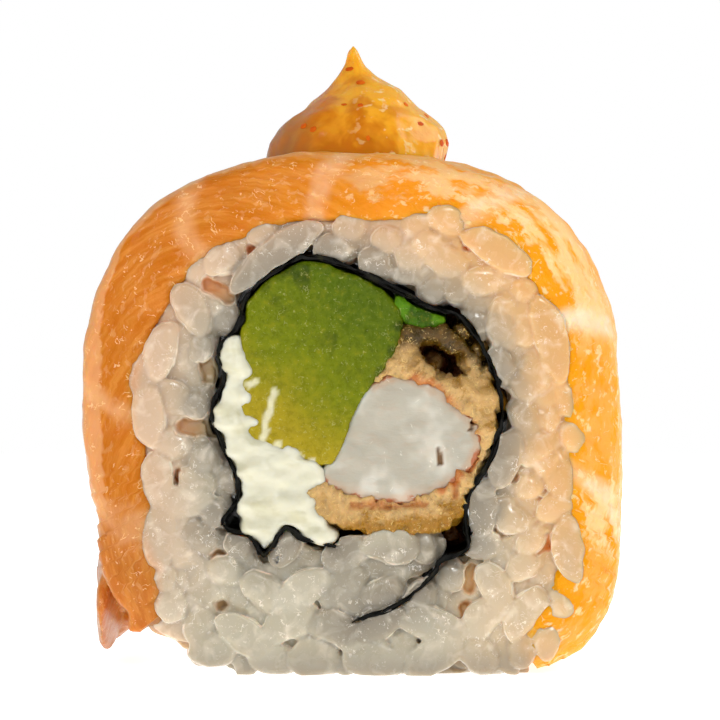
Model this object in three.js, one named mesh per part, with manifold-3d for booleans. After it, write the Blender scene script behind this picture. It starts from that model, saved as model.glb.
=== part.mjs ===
// One slice of an inside-out sushi roll: a ring of rice round a curled sheet of nori, filled with
// avocado, cream cheese and a battered prawn, under a draped slice of salmon with a dab of sauce on top.
// Millimetres, +Z up. The slice stands on the foot of its rice ring, and its cut faces look along -Y and +Y.
// Outlines are drawn in the plane of the cut, as [x, z] with z = 0 on the table, and run through the roll.
import * as THREE from "three";
import { mergeVertices } from "three/addons/utils/BufferGeometryUtils.js";
import Module from "manifold-3d";

const wasm = await Module();
wasm.setup();

// Driving dimensions
const DEPTH = 28; // from cut face to cut face
const HALF_WIDTH = 25.8; // from the middle plane to the outside of the salmon
const WIDEST_HEIGHT = 24; // level of the widest place
const CROWN_RISE = 25.5; // from there up to the top of the salmon
const FOOT_DROP = 24.5; // from there down, a little under the table, so that the foot is cut flat
const CROWN_SQUARENESS = 2.6; // superellipse exponents: 2 is round, more is squarer
const RIGHT_FOOT_SQUARENESS = 5;
const LEFT_FOOT_SQUARENESS = 2.8;
const SWELL = 0.018; // how much larger the section is at mid-depth than at the cuts
const LEAN = 0.02; // sideways shift per millimetre of depth
const GAP = 0.3; // free space between neighbours

const SALMON_THICKNESS = 4.7;
const SALMON_TAPER = 0.65; // it is this much thicker on the left and thinner on the right
const SALMON_THICK_SIDE = THREE.MathUtils.degToRad(150);
const SALMON_RIGHT_END = THREE.MathUtils.degToRad(-67); // tucked under the right foot
const SALMON_LEFT_END = THREE.MathUtils.degToRad(224); // hanging at the left
const SALMON_END_ROUNDING = THREE.MathUtils.degToRad(12);
const SALMON_END_SHARE = 0.5; // of the full thickness, at the very ends
const SALMON_EDGE_ROUNDING = 0.9;
const FLAP_START = THREE.MathUtils.degToRad(186); // the flap bends out from here to the left end
const FLAP_OUT = 4.6;
const FLAP_DOWN = 4.3;

const RICE_RIPPLE = 0.35; // grain-sized bumps along the bare foot
const RICE_RIPPLES_PER_TURN = 31;
const RICE_CLEAR_OF_SALMON = THREE.MathUtils.degToRad(1.2); // past the salmon's ends

const NORI_THICKNESS = 0.6;
const NORI_CENTRE = [0.4, 25.2];

const DEPTH_STEPS = 4;
const ARC_STEPS = 40;
const OUTLINE_STEPS = 32;
const CUTTER_OVERRUN = 1; // how far cutting solids reach past both cut faces
const WELD = 1e-4; // corners closer than this are one
const NORI_STEPS = 84;

// The curled nori sheet, from its inner edge round to its tail, as [degrees, radius] about NORI_CENTRE
const NORI_CURL = [
  [263, 13.0], [247, 13.2], [240, 12.9], [238, 16.2], [230, 15.6], [221, 16.8], [217, 14.0],
  [208, 12.8], [198, 12.9], [180, 13.6], [164, 12.8], [157, 14.1], [142, 13.8], [135, 14.9],
  [109, 15.4], [98, 14.2], [75, 12.3], [53, 12.2], [41, 13.5], [24, 13.5], [1, 14.0],
  [-20, 13.7], [-34, 13.4], [-44, 14.6], [-51, 16.9], [-59, 16.4], [-66, 17.4], [-77, 18.8], [-91, 20.1],
];
const NORI_LOOP_END = 24; // the curl's point where the loop is full and the tail leaves it
const CAVITY_FLOOR = [[8.9, 11.7], [8.6, 13.3], [3.5, 13.3], [-0.9, 12.8]]; // top of the rice tongue

const AVOCADO = [
  [-9.9, 35.0], [-4.8, 39.1], [-1.0, 38.6], [3.8, 35.7], [5.0, 33.0],
  [2.8, 27.0], [-1.8, 20.1], [-6.3, 21.8], [-9.8, 23.2], [-10.2, 30.0],
];
const AVOCADO_SLIVER = [[4.4, 36.0], [6.4, 35.3], [8.7, 34.3], [8.9, 33.6], [7.6, 33.2], [5.4, 33.6]];
const PRAWN = [
  [4.7, 28.4], [7.5, 27.9], [10.4, 25.7], [12.2, 23.4], [12.2, 21.3], [9.9, 18.6],
  [7.0, 17.1], [3.2, 16.7], [-0.6, 17.6], [-2.3, 18.7], [-0.6, 21.5], [2.0, 25.5],
];
const BATTER = [
  [4.9, 32.3], [6.1, 33.0], [8.5, 32.9], [10.9, 31.2], [12.6, 28.6], [13.4, 25.3], [13.3, 22.4],
  [12.2, 19.3], [10.9, 17.6], [10.4, 15.7], [9.2, 14.3], [6.6, 13.9], [2.8, 13.9], [-0.6, 14.4],
  [-3.1, 15.2], [-3.9, 16.7], [-1.4, 19.2], [2.4, 25.6],
];
const CREAM = [
  [-11.6, 33.0], [-10.9, 31.8], [-10.5, 27.0], [-9.6, 22.4], [-4.0, 20.4], [-1.4, 18.6], [-3.4, 16.2],
  [-1.6, 12.6], [-4.4, 13.5], [-6.2, 14.6], [-8.1, 12.3], [-9.8, 13.6], [-10.4, 17.0], [-13.6, 25.2],
];
const PROUD = { avocado: 0.2, sliver: 0.1, cream: 0.15, prawn: -0.2, batter: 0.1 }; // of the rice's cut
const BATTER_HOLLOW = { size: [3.0, 7.5, 1.7], at: [8.7, 29.9], tilt: THREE.MathUtils.degToRad(33) };
const HOLLOW_BACK_SHARE = 0.75; // the hollow at the back cut is this much of the front one

const SAUCE_AT = [0.6, 0.5]; // x and y of its middle
const SAUCE_SINK = 2.6; // how far the unshaped dab reaches under the crown before it is cut to the salmon
const SAUCE_PROFILE = [
  [9.0, 0], [9.2, 2.6], [9.0, 4.6], [8.2, 6.1], [6.8, 7.5], [5.1, 9.0],
  [3.4, 10.4], [2.1, 11.6], [1.3, 12.7], [0.8, 13.8], [0, 14.7],
]; // [radius, height]
const SAUCE_SEGMENTS = 32;
const SAUCE_RINGS = 13;
const SAUCE_RIDGE = 0.035; // share of the radius by which the piped spiral stands out
const SAUCE_TWIST = 0.55; // radians of spiral per millimetre of height
const SAUCE_SHOULDER = 0.7; // its fuller right side
const SAUCE_TIP_BEND = 0.6; // to the left

const LOOKS = {
  salmon_slice: { color: 0xe88c2e, roughness: 0.32 },
  rice_ring: { color: 0xdcd0c2, roughness: 0.38 },
  nori_sheet: { color: 0x16170f, roughness: 0.55 },
  avocado_wedge: { color: 0x86a01c, roughness: 0.42 },
  avocado_sliver: { color: 0x5c9a26, roughness: 0.42 },
  cream_cheese: { color: 0xeeecd9, roughness: 0.35 },
  prawn: { color: 0xd6cfc2, roughness: 0.35 },
  prawn_batter: { color: 0xb08a4a, roughness: 0.6 },
  sauce_dab: { color: 0xe0921e, roughness: 0.22 },
};

// Outline helpers

// A point on the outside of the roll, at a turning angle from +X, drawn in by inset.
function rollPoint(angle, inset = 0) {
  const c = Math.cos(angle);
  const s = Math.sin(angle);
  const footSquareness = c > 0 ? RIGHT_FOOT_SQUARENESS : LEFT_FOOT_SQUARENESS;
  const power = 2 / (s > 0 ? CROWN_SQUARENESS : footSquareness);
  const rise = (s > 0 ? CROWN_RISE : FOOT_DROP) - inset;
  const x = Math.sign(c) * (HALF_WIDTH - inset) * Math.abs(c) ** power;
  const z = WIDEST_HEIGHT + Math.sign(s) * rise * Math.abs(s) ** power;
  return [x, Math.max(z, 0)];
}

function arc(from, to, steps, insetAt) {
  return Array.from({ length: steps + 1 }, (_, i) => {
    const angle = from + ((to - from) * i) / steps;
    return rollPoint(angle, insetAt(angle));
  });
}

// A smooth closed outline through a few points.
function smooth(points, steps = OUTLINE_STEPS) {
  const knots = points.map(([x, z]) => new THREE.Vector3(x, z, 0));
  return new THREE.CatmullRomCurve3(knots, true).getPoints(steps).slice(0, -1).map((p) => [p.x, p.y]);
}

function direction([ax, az], [bx, bz]) {
  return new THREE.Vector2(bx - ax, bz - az).normalize();
}

// The outline moved outwards by distance; it may be drawn either way round.
function grow(outline, distance) {
  const side = THREE.ShapeUtils.area(outline.map(([x, z]) => new THREE.Vector2(x, z))) > 0 ? 1 : -1;
  return outline.map(([x, z], i) => {
    const before = outline[(i + outline.length - 1) % outline.length];
    const along = direction(before, outline[(i + 1) % outline.length]);
    return [x + side * along.y * distance, z - side * along.x * distance];
  });
}

// A strip of the given width along an open line, square at both ends.
function strip(line, width, overrun = 0) {
  const edges = line.map(([x, z], i) => {
    const along = direction(line[Math.max(i - 1, 0)], line[Math.min(i + 1, line.length - 1)]);
    const end = i === 0 ? -overrun : i === line.length - 1 ? overrun : 0;
    const middle = [x + along.x * end, z + along.y * end];
    return { middle, across: [-along.y * (width / 2), along.x * (width / 2)] };
  });
  const left = edges.map(({ middle, across }) => [middle[0] + across[0], middle[1] + across[1]]);
  const right = edges.map(({ middle, across }) => [middle[0] - across[0], middle[1] - across[1]]);
  return [...left, ...right.reverse()];
}

// Solid helpers

function toSolid(geometry) {
  geometry.deleteAttribute("normal");
  geometry.deleteAttribute("uv");
  const merged = mergeVertices(geometry, WELD);
  return new wasm.Manifold(
    new wasm.Mesh({
      numProp: 3,
      vertProperties: merged.attributes.position.array,
      triVerts: new Uint32Array(merged.index.array),
    }),
  );
}

function bend(geometry, move) {
  const position = geometry.attributes.position;
  const point = new THREE.Vector3();
  for (let i = 0; i < position.count; i++) {
    point.fromBufferAttribute(position, i);
    move(point);
    position.setXYZ(i, point.x, point.y, point.z);
  }
  return geometry;
}

// The whole roll is a little fuller at mid-depth and leans, and everything in it follows.
function swell(point) {
  const share = 1 + SWELL * (1 - ((2 * point.y) / DEPTH) ** 2);
  point.x = point.x * share + LEAN * point.y;
  point.z *= share;
}

// A section run through the depth of the roll; proud moves both cut faces out.
function run(outline, { proud = 0, rounding = 0, shape = swell } = {}) {
  const back = DEPTH / 2 + proud;
  const section = new THREE.Shape(outline.map(([x, z]) => new THREE.Vector2(x, z)));
  const geometry = new THREE.ExtrudeGeometry(section, {
    depth: 2 * (back - rounding),
    steps: DEPTH_STEPS,
    bevelEnabled: rounding > 0,
    bevelThickness: rounding,
    bevelSize: rounding,
    bevelOffset: -rounding,
    bevelSegments: 2,
  });
  geometry.rotateX(Math.PI / 2).translate(0, back - rounding, 0);
  return toSolid(bend(geometry, shape));
}

function cut(solid, ...tools) {
  return tools.reduce((rest, tool) => rest.subtract(tool), solid);
}

function mesh(name, solid) {
  const { numProp, vertProperties, triVerts } = solid.getMesh();
  const corners = new THREE.InterleavedBuffer(vertProperties, numProp);
  const geometry = new THREE.BufferGeometry();
  geometry.setAttribute("position", new THREE.InterleavedBufferAttribute(corners, 3, 0));
  geometry.setIndex(new THREE.BufferAttribute(triVerts, 1));
  const made = new THREE.Mesh(geometry, new THREE.MeshStandardMaterial({ ...LOOKS[name], metalness: 0 }));
  made.name = name;
  return made;
}

// Salmon: a thick slice draped over the crown, its far left corner hanging out as a flap

function salmonThickness(angle) {
  const fromEnd = Math.min(angle - SALMON_RIGHT_END, SALMON_LEFT_END - angle);
  const fullness = THREE.MathUtils.clamp(fromEnd / SALMON_END_ROUNDING, 0, 1);
  const rounded = SALMON_END_SHARE + (1 - SALMON_END_SHARE) * Math.sqrt(1 - (1 - fullness) ** 2);
  return rounded * (SALMON_THICKNESS + SALMON_TAPER * Math.cos(angle - SALMON_THICK_SIDE));
}

function salmonOutline() {
  const outside = arc(SALMON_RIGHT_END, SALMON_LEFT_END, ARC_STEPS, () => 0);
  const inside = arc(SALMON_LEFT_END, SALMON_RIGHT_END, ARC_STEPS, salmonThickness);
  return [...outside, ...inside];
}

function flapAndSwell(point) {
  const turn = Math.atan2(point.z - WIDEST_HEIGHT, point.x);
  const angle = turn < -Math.PI / 2 ? turn + 2 * Math.PI : turn;
  const along = THREE.MathUtils.smoothstep(angle, FLAP_START, SALMON_LEFT_END);
  const deep = THREE.MathUtils.smoothstep(point.y, -DEPTH / 4, DEPTH / 2);
  swell(point);
  point.x -= FLAP_OUT * along * deep;
  point.z -= FLAP_DOWN * along * deep;
}

const salmon = run(salmonOutline(), { rounding: SALMON_EDGE_ROUNDING, shape: flapAndSwell });

// Nori: one sheet, curled from its inner edge round the filling to a tail in the rice

const noriKnots = NORI_CURL.map(([degrees, radius]) => {
  const angle = THREE.MathUtils.degToRad(degrees);
  return new THREE.Vector3(
    NORI_CENTRE[0] + radius * Math.cos(angle),
    NORI_CENTRE[1] + radius * Math.sin(angle),
    0,
  );
});
const noriCurve = new THREE.CatmullRomCurve3(noriKnots);
const noriLine = noriCurve.getPoints(NORI_STEPS).map((p) => [p.x, p.y]);
const nori = run(strip(noriLine, NORI_THICKNESS));
const noriRoom = run(strip(noriLine, NORI_THICKNESS + 2 * GAP, GAP), { proud: CUTTER_OVERRUN });

// Filling: what lies inside the loop of nori

const loopPoints = Math.round((NORI_STEPS * NORI_LOOP_END) / (NORI_CURL.length - 1));
const cavityOutline = [...noriLine.slice(0, loopPoints + 1), ...CAVITY_FLOOR];
const cavity = run(cavityOutline, { proud: CUTTER_OVERRUN });

function room(outline) {
  return run(grow(smooth(outline), GAP), { proud: CUTTER_OVERRUN });
}

const avocado = cut(run(smooth(AVOCADO), { proud: PROUD.avocado }), noriRoom);
const sliver = cut(run(smooth(AVOCADO_SLIVER), { proud: PROUD.sliver }), noriRoom, room(AVOCADO));
const prawn = cut(run(smooth(PRAWN), { proud: PROUD.prawn }), room(AVOCADO));

function hollow(end, share) {
  const geometry = new THREE.SphereGeometry(1, 16, 10);
  const [wide, deep, high] = BATTER_HOLLOW.size;
  geometry.scale(wide * share, deep * share, high * share).rotateY(BATTER_HOLLOW.tilt);
  geometry.translate(BATTER_HOLLOW.at[0], (end * DEPTH) / 2, BATTER_HOLLOW.at[1]);
  return toSolid(geometry);
}

const batter = cut(
  run(smooth(BATTER, 2 * OUTLINE_STEPS), { proud: PROUD.batter }),
  room(PRAWN),
  room(AVOCADO),
  room(AVOCADO_SLIVER),
  noriRoom,
  hollow(-1, 1),
  hollow(1, HOLLOW_BACK_SHARE),
);
const cream = cut(
  run(smooth(CREAM, 2 * OUTLINE_STEPS), { proud: PROUD.cream }).intersect(cavity),
  noriRoom,
  room(AVOCADO),
  room(PRAWN),
  room(BATTER),
);

// Rice: the ring between nori and salmon, bare along its foot

function bareRiceInset(angle) {
  return RICE_RIPPLE * (1 + Math.sin(RICE_RIPPLES_PER_TURN * angle));
}

const bareStart = SALMON_LEFT_END + RICE_CLEAR_OF_SALMON;
const bareEnd = SALMON_RIGHT_END + 2 * Math.PI - RICE_CLEAR_OF_SALMON;
const riceOutline = [
  ...arc(SALMON_RIGHT_END, SALMON_LEFT_END, ARC_STEPS, (angle) => salmonThickness(angle) + GAP),
  ...arc(bareStart, bareEnd, ARC_STEPS / 2, bareRiceInset),
];
const rice = cut(run(riceOutline), cavity, noriRoom);

// Sauce: a piped dab with a drawn-up tip, cut to the curve of the salmon under it

function sauceProfile() {
  const knots = SAUCE_PROFILE.map(([radius, height]) => new THREE.Vector2(radius, height));
  const side = new THREE.SplineCurve(knots).getPoints(SAUCE_RINGS);
  side[side.length - 1].x = 0;
  return [new THREE.Vector2(0, 0), ...side];
}

function pipe(point) {
  const height = point.z;
  const round = Math.atan2(point.y, point.x);
  const ridge = 1 + SAUCE_RIDGE * Math.cos(2 * round - 2 * SAUCE_TWIST * height);
  const share = height / SAUCE_PROFILE.at(-1)[1];
  point.x = point.x * ridge + SAUCE_SHOULDER * Math.sin(Math.PI * share) - SAUCE_TIP_BEND * share ** 4;
  point.y *= ridge;
}

function sauceSolid() {
  const geometry = new THREE.LatheGeometry(sauceProfile(), SAUCE_SEGMENTS).rotateX(Math.PI / 2);
  bend(geometry, pipe);
  geometry.translate(SAUCE_AT[0], SAUCE_AT[1], WIDEST_HEIGHT + CROWN_RISE - SAUCE_SINK);
  const underSauce = run(grow(arc(0, Math.PI, ARC_STEPS, () => 0), GAP), { proud: CUTTER_OVERRUN });
  return toSolid(geometry).subtract(underSauce);
}

// The roll, stood with its origin under the middle of its box

const roll = new THREE.Group();
roll.add(
  mesh("salmon_slice", salmon),
  mesh("rice_ring", rice),
  mesh("nori_sheet", nori),
  mesh("avocado_wedge", avocado),
  mesh("avocado_sliver", sliver),
  mesh("cream_cheese", cream),
  mesh("prawn", prawn),
  mesh("prawn_batter", batter),
  mesh("sauce_dab", sauceSolid()),
);
const box = new THREE.Box3().setFromObject(roll);
const middle = box.getCenter(new THREE.Vector3());
const uramaki = new THREE.Group();
roll.position.set(-middle.x, -middle.y, -box.min.z);
uramaki.add(roll);

export default uramaki;
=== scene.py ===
"""The looks of one slice of an inside-out sushi roll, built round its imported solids.

Salmon, nori and fillings are fine copies of their solids with the surface of the real food on them.
The rice ring becomes grains, packed and stuck together over a smaller core of the same solid.
Lengths are in metres, and the axes are the frame's: +Z up, with the front cut face looking along -Y.
"""

import math
from contextlib import contextmanager

import bmesh
import bpy
import numpy as np
from bpy.props import FloatProperty, FloatVectorProperty, IntProperty, PointerProperty
from mathutils import Matrix, Vector, noise
from mathutils.bvhtree import BVHTree
from mathutils.kdtree import KDTree


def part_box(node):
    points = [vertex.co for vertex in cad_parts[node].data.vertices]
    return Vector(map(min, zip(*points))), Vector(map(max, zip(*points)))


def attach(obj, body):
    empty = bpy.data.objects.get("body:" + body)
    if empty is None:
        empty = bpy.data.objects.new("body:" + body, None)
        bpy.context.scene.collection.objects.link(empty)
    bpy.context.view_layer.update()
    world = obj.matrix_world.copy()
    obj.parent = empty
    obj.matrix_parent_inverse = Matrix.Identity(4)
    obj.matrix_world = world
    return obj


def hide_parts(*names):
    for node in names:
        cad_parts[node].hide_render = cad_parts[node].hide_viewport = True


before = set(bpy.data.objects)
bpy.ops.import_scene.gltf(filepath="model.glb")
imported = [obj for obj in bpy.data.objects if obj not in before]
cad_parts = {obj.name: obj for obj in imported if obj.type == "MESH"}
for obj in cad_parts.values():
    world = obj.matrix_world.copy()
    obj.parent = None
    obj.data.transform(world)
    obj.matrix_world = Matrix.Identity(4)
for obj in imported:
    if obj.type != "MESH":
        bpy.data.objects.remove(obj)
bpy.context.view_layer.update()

bl_info = {
    "name": "Uramaki roll slice",
    "version": (1, 0, 0),
    "blender": (4, 5, 0),
    "location": "3D View > Sidebar > Uramaki",
    "description": "Builds the looks of a slice of inside-out sushi roll round its packed solids",
    "category": "Add Mesh",
}

MM = 0.001
BODY = "root"
SAME_PLACE = 0.005 * MM  # points of a solid that lie closer than this are one point

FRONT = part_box("rice_ring")[0].y  # the front cut face
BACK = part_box("rice_ring")[1].y
ROLL_MIDDLE = Vector((0.0, 0.0, 24 * MM))  # the salmon turns round this point
ROLL_RADIUS = 25 * MM  # what its turning angles are measured along


# Settings

def screen(red, green, blue):
    """A linear colour from 8-bit screen values."""
    shares = (value / 255 for value in (red, green, blue))
    return tuple(v / 12.92 if v <= 0.04045 else ((v + 0.055) / 1.055) ** 2.4 for v in shares)


def length(name, description, millimetres):
    return FloatProperty(
        name=name, description=description, default=millimetres * MM, unit="LENGTH", precision=5
    )


def share(name, description, default):
    return FloatProperty(name=name, description=description, default=default, subtype="FACTOR", min=0, max=4)


def count(name, description, default):
    return IntProperty(name=name, description=description, default=default, min=0)


def colour(name, description, red, green, blue):
    return FloatVectorProperty(
        name=name, description=description, default=screen(red, green, blue), subtype="COLOR", min=0, max=1
    )


class SalmonLook(bpy.types.PropertyGroup):
    """The draped slice of salmon"""

    step: length("Surface step", "Distance between points of the surface", 0.35)
    edge_rounding: length("Edge rounding", "How far the outer edges of the slice are rounded off", 2.4)
    edge_proud: length("Edge proud", "How far its inner edge stands out of the cut, between the grains", 0.08)
    swell: length("Swell", "How far it reaches in behind the grains", 1.3)
    waist: length("Waist", "How far the left side draws in above the flap", 1.6)
    inner_zone: length("Inner zone", "Width of the strip beside the rice", 2.6)
    lump_size: length("Lump size", "Width of the broad lumps", 8)
    lump_height: length("Lump height", "Height of the broad lumps", 0.35)
    ripple_size: length("Ripple size", "Width of the wet ripples on the outside", 1.6)
    ripple_height: length("Ripple height", "Height of the wet ripples on the outside", 0.12)
    fat_width: length("Fat line width", "Width of the pale lines of fat", 2.1)
    # Painted light and shade: flesh, fibres and fat are painted darker on the shaded side and brighter on the
    # side towards the light.
    flesh: colour("Flesh", "Flesh on the shaded side", 194, 108, 4)
    fibre: colour("Fibre", "Paler fibres on the shaded side", 222, 150, 62)
    painted_lit_flesh: colour("Bright flesh", "Flesh on the side towards the light", 248, 158, 0)
    # Painted sheen: the pale colour of the outside on the side towards the light stands for light reflected
    # off the wet flesh.
    wet: colour("Wet flesh", "The wet outside on the side towards the light", 248, 204, 140)
    # Painted shade: the flap hanging at the far left is painted darker.
    flap: colour("Flap", "The flap at the far left", 172, 118, 74)
    fat: colour("Fat", "Pale lines of fat", 226, 168, 114)
    painted_lit_fat: colour("Pale fat", "The same on the side towards the light", 255, 230, 200)
    # Painted highlights: the pale specks and lines stand for glints of light on the wet flesh.
    glint: colour("Glint", "Pale wet specks", 250, 214, 160)


class RiceLook(bpy.types.PropertyGroup):
    """The ring of rice"""

    grains: count("Grains", "How many loose grains lie in the visible faces of the ring", 330)
    seed: count("Seed", "Start of the random draws", 7)
    grain_length: length("Grain length", "Length of a cooked grain", 5.9)
    grain_width: length("Grain width", "Width of a cooked grain", 2.9)
    shell: length("Shell", "Depth of the layer of grains", 3.8)
    step: length("Surface step", "Distance between points of the surface", 0.17)
    triangles: count("Triangles", "About how many triangles the surface has", 190000)
    overlap: length("Overlap", "How far grains reach over the edge of the nori", 0.38)
    grey_width: length("Grey width", "Width of the greyest rice beside the nori", 4.5)
    gap_width: length("Gap width", "Width of the gaps in the front cut", 1.6)
    gap_depth: length("Gap depth", "Depth of the gaps in the front cut", 1.2)
    broadness: share("Broadness", "Width of the grains of the front, beside the others", 1.16)
    proud: length("Proud", "How far the grains of the front stand out of the plain ring", 0.35)
    layering: length("Layering", "How far half-hidden grains of the front lie behind whole ones", 0.45)
    setback: length("Setback", "How far the other grains lie behind them", 0.45)
    core_step: length("Core step", "Distance between points of the core's surface", 0.5)
    core_depth: length("Core depth", "How far the core lies behind the faces of the ring", 2.0)
    core_lump_size: length("Core lump size", "Width of the core's lumps", 4)
    core_lumps: share("Core lumps", "How much that depth varies", 0.25)
    bend: share("Bend", "How far the grains are bent", 0.3)
    unevenness: length("Unevenness", "Height of the lumps of the grains", 1.3)
    lump_size: length("Lump size", "Width of the lumps of the grains", 2)
    cut_depth: length("Cut depth", "How deep the knife has flattened a grain", 1.1)
    pressed: share("Pressed", "How much of that depth is left as roundness", 0.25)
    foot_press: length("Foot press", "How far its weight presses the grains of the foot down", 0.7)
    foot_height: length("Foot height", "Up to where that reaches", 4)
    grey_reach: length("Grey reach", "How far from the nori the rice is grey", 3.8)
    tint_reach: length("Tint reach", "How far from the salmon the rice is tinted", 10)
    grain: colour("Grain", "Grains away from salmon and nori", 196, 189, 169)
    # Painted light: grains beside the salmon are painted in its colour, as light shining through it, warmer
    # on the side towards the light.
    peach: colour("Peach", "Grains beside the salmon", 216, 174, 138)
    warm: colour("Warm", "Grains beside the salmon on the side towards the light", 228, 181, 120)
    # Painted shade: grains in front of the nori are painted grey, where the dark sheet behind them swallows
    # the light.
    grey: colour("Grey", "Grains in front of the nori", 138, 129, 115)
    # Painted light: bright glassy rims on the grains' steep sides; the same colour also whitens the rice's
    # own milky places.
    rim: colour("Rim", "Glassy rims and milky places", 255, 244, 226)
    # Painted shade in the deep gaps, warmed by painted light shining through the salmon, brightest on the lit
    # side.
    gap: colour("Gap", "Deep gaps", 186, 164, 126)
    warm_gap: colour("Warm gap", "Deep gaps with the salmon shining through", 230, 152, 88)
    bright_gap: colour("Bright gap", "The same on the side towards the light", 255, 188, 106)
    # Painted highlights: small glints of light on the wet grains.
    glint: colour("Glint", "Small wet glints", 255, 248, 236)
    shadow: colour("Shadow", "What darkens the duller grains", 222, 217, 208)


class NoriLook(bpy.types.PropertyGroup):
    """The curled sheet of nori"""

    proud: length("Proud", "How far the sheet stands out of both cut faces", 0.5)
    tail_proud: share("Tail proud", "How much further the tail stands out, as a share of that", 0.9)
    crumple: length("Crumple", "Height of the small creases", 0.34)
    crease_size: length("Crease size", "Width of the small creases", 1.1)
    ragged_size: length("Ragged size", "Width of the tatters along the cut edges", 1.2)
    uneven_size: length("Uneven size", "Width of the thicker and thinner places", 3)
    thinning: length("Thinning", "How much thinner each side is than in the solid", 0.2)
    tail_thinning: length("Tail thinning", "How much thinner still each side of the tail is", 0.05)
    sheet: colour("Sheet", "The damp sheet", 8, 8, 4)
    glint: colour("Glint", "Greener patches of the sheet", 48, 46, 26)


class AvocadoLook(bpy.types.PropertyGroup):
    """Both pieces of avocado"""

    step: length("Surface step", "Distance between points of the surface", 0.28)
    inflate: length("Fullness", "How far the pieces swell into the gaps round them", 0.22)
    dent_size: length("Dent size", "Width of the broad dents", 3)
    dent_height: length("Dent height", "Height of the broad dents", 0.18)
    grit_size: length("Grit size", "Width of the fine roughness", 0.9)
    grit_height: length("Grit height", "Height of the fine roughness", 0.12)
    smear_width: length("Smear width", "Width of the smears of cheese on the cut", 0.7)
    green: colour("Green", "Flesh near the skin", 84, 104, 0)
    bright_green: colour("Bright green", "The thin piece", 84, 130, 12)
    middle: colour("Middle", "Flesh between skin and stone", 116, 126, 0)
    yellow: colour("Yellow", "Flesh near the stone", 168, 148, 24)
    bruise: colour("Bruise", "Dark blotches near the skin", 36, 54, 0)
    # Painted highlights: pale strokes and dots for glints of light on the wet cut.
    glint: colour("Glint", "Pale scratches and wet dots", 206, 202, 132)
    smear: colour("Smear", "Smears of cheese on the cut", 226, 222, 190)


class CreamLook(bpy.types.PropertyGroup):
    """The cream cheese"""

    step: length("Surface step", "Distance between points of the surface", 0.22)
    inflate: length("Fullness", "How far the cheese swells into the gaps round it", 0.4)
    smear_proud: length("Smear proud", "How far the smears stand out of the cut", 0.55)
    smear_size: length("Smear size", "Width of the smeared ridges", 2.4)
    smear_height: length("Smear height", "Height of the smeared ridges", 0.6)
    cheese: colour("Cheese", "The cheese", 221, 218, 196)
    # Painted shade: the cheese is painted darker in random streaks.
    shade: colour("Shade", "Thin or bruised places", 206, 202, 174)


class PrawnLook(bpy.types.PropertyGroup):
    """The prawn"""

    step: length("Surface step", "Distance between points of the surface", 0.25)
    inflate: length("Fullness", "How far the prawn swells into the gaps round it", 0.4)
    lump_size: length("Lump size", "Width of the soft lumps", 2.5)
    lump_height: length("Lump height", "Height of the soft lumps", 0.2)
    slit_width: length("Slit width", "Width of the slits in the cut", 0.45)
    slit_depth: length("Slit depth", "Depth of the slits in the cut", 0.6)
    skin_reach: length("Skin reach", "How far from the batter the flesh is tinted", 1.9)
    flesh: colour("Flesh", "Cooked flesh", 186, 180, 164)
    # The pale colour also paints the prawn's glints: painted highlights.
    pale: colour("Pale", "Pale strands and wet lines", 236, 232, 220)
    blush: colour("Blush", "Flesh under the skin", 196, 150, 110)
    skin: colour("Skin", "The orange skin", 180, 92, 30)
    # Painted shade: the slits in the cut are painted brown.
    slit: colour("Slit", "The slits in the cut", 148, 108, 66)


class BatterLook(bpy.types.PropertyGroup):
    """The fried batter"""

    step: length("Surface step", "Distance between points of the surface", 0.25)
    inflate: length("Fullness", "How far the batter swells into the gaps round it", 0.45)
    crevice_width: length("Crevice width", "Width of the crevices beside the prawn", 0.6)
    skin_width: length("Skin width", "Width of the prawn's skin that sticks to it", 0.9)
    patch_width: length("Patch width", "Width of the dark and the pale patches", 2.2)
    crevice_depth: length("Crevice depth", "Depth of the crevices beside the prawn", 0.5)
    crust_size: length("Crust size", "Width of the crust's roughness", 1.6)
    crust_height: length("Crust height", "Height of the crust's roughness", 0.6)
    pore_size: length("Pore size", "Distance between the pores", 1.1)
    pore_width: share("Pore width", "Half the width of a pore, as a share of that distance", 0.4)
    pore_depth: length("Pore depth", "Depth of the pores", 0.5)
    crumb_size: length("Crumb size", "Width of the fine crumbs", 0.7)
    crumb_height: length("Crumb height", "Height of the fine crumbs", 0.22)
    prawn_reach: length("Prawn reach", "How far from the prawn the batter stays pale", 3)
    crumb: colour("Crumb", "Pale inside of the batter", 206, 168, 108)
    crust: colour("Crust", "Browned outside of the batter", 162, 114, 22)
    scorched: colour("Scorched", "Darkest batter", 54, 40, 0)
    skin: colour("Skin", "Where the prawn's skin sticks to it", 186, 96, 26)
    # Painted highlights: golden glints of light on the crumbs.
    glint: colour("Glint", "Golden wet crumbs", 236, 204, 130)
    # Painted shade: batter deep inside the slice is painted dark.
    hollow: colour("Hollow", "Batter deep inside, away from the light", 84, 36, 10)


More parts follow.
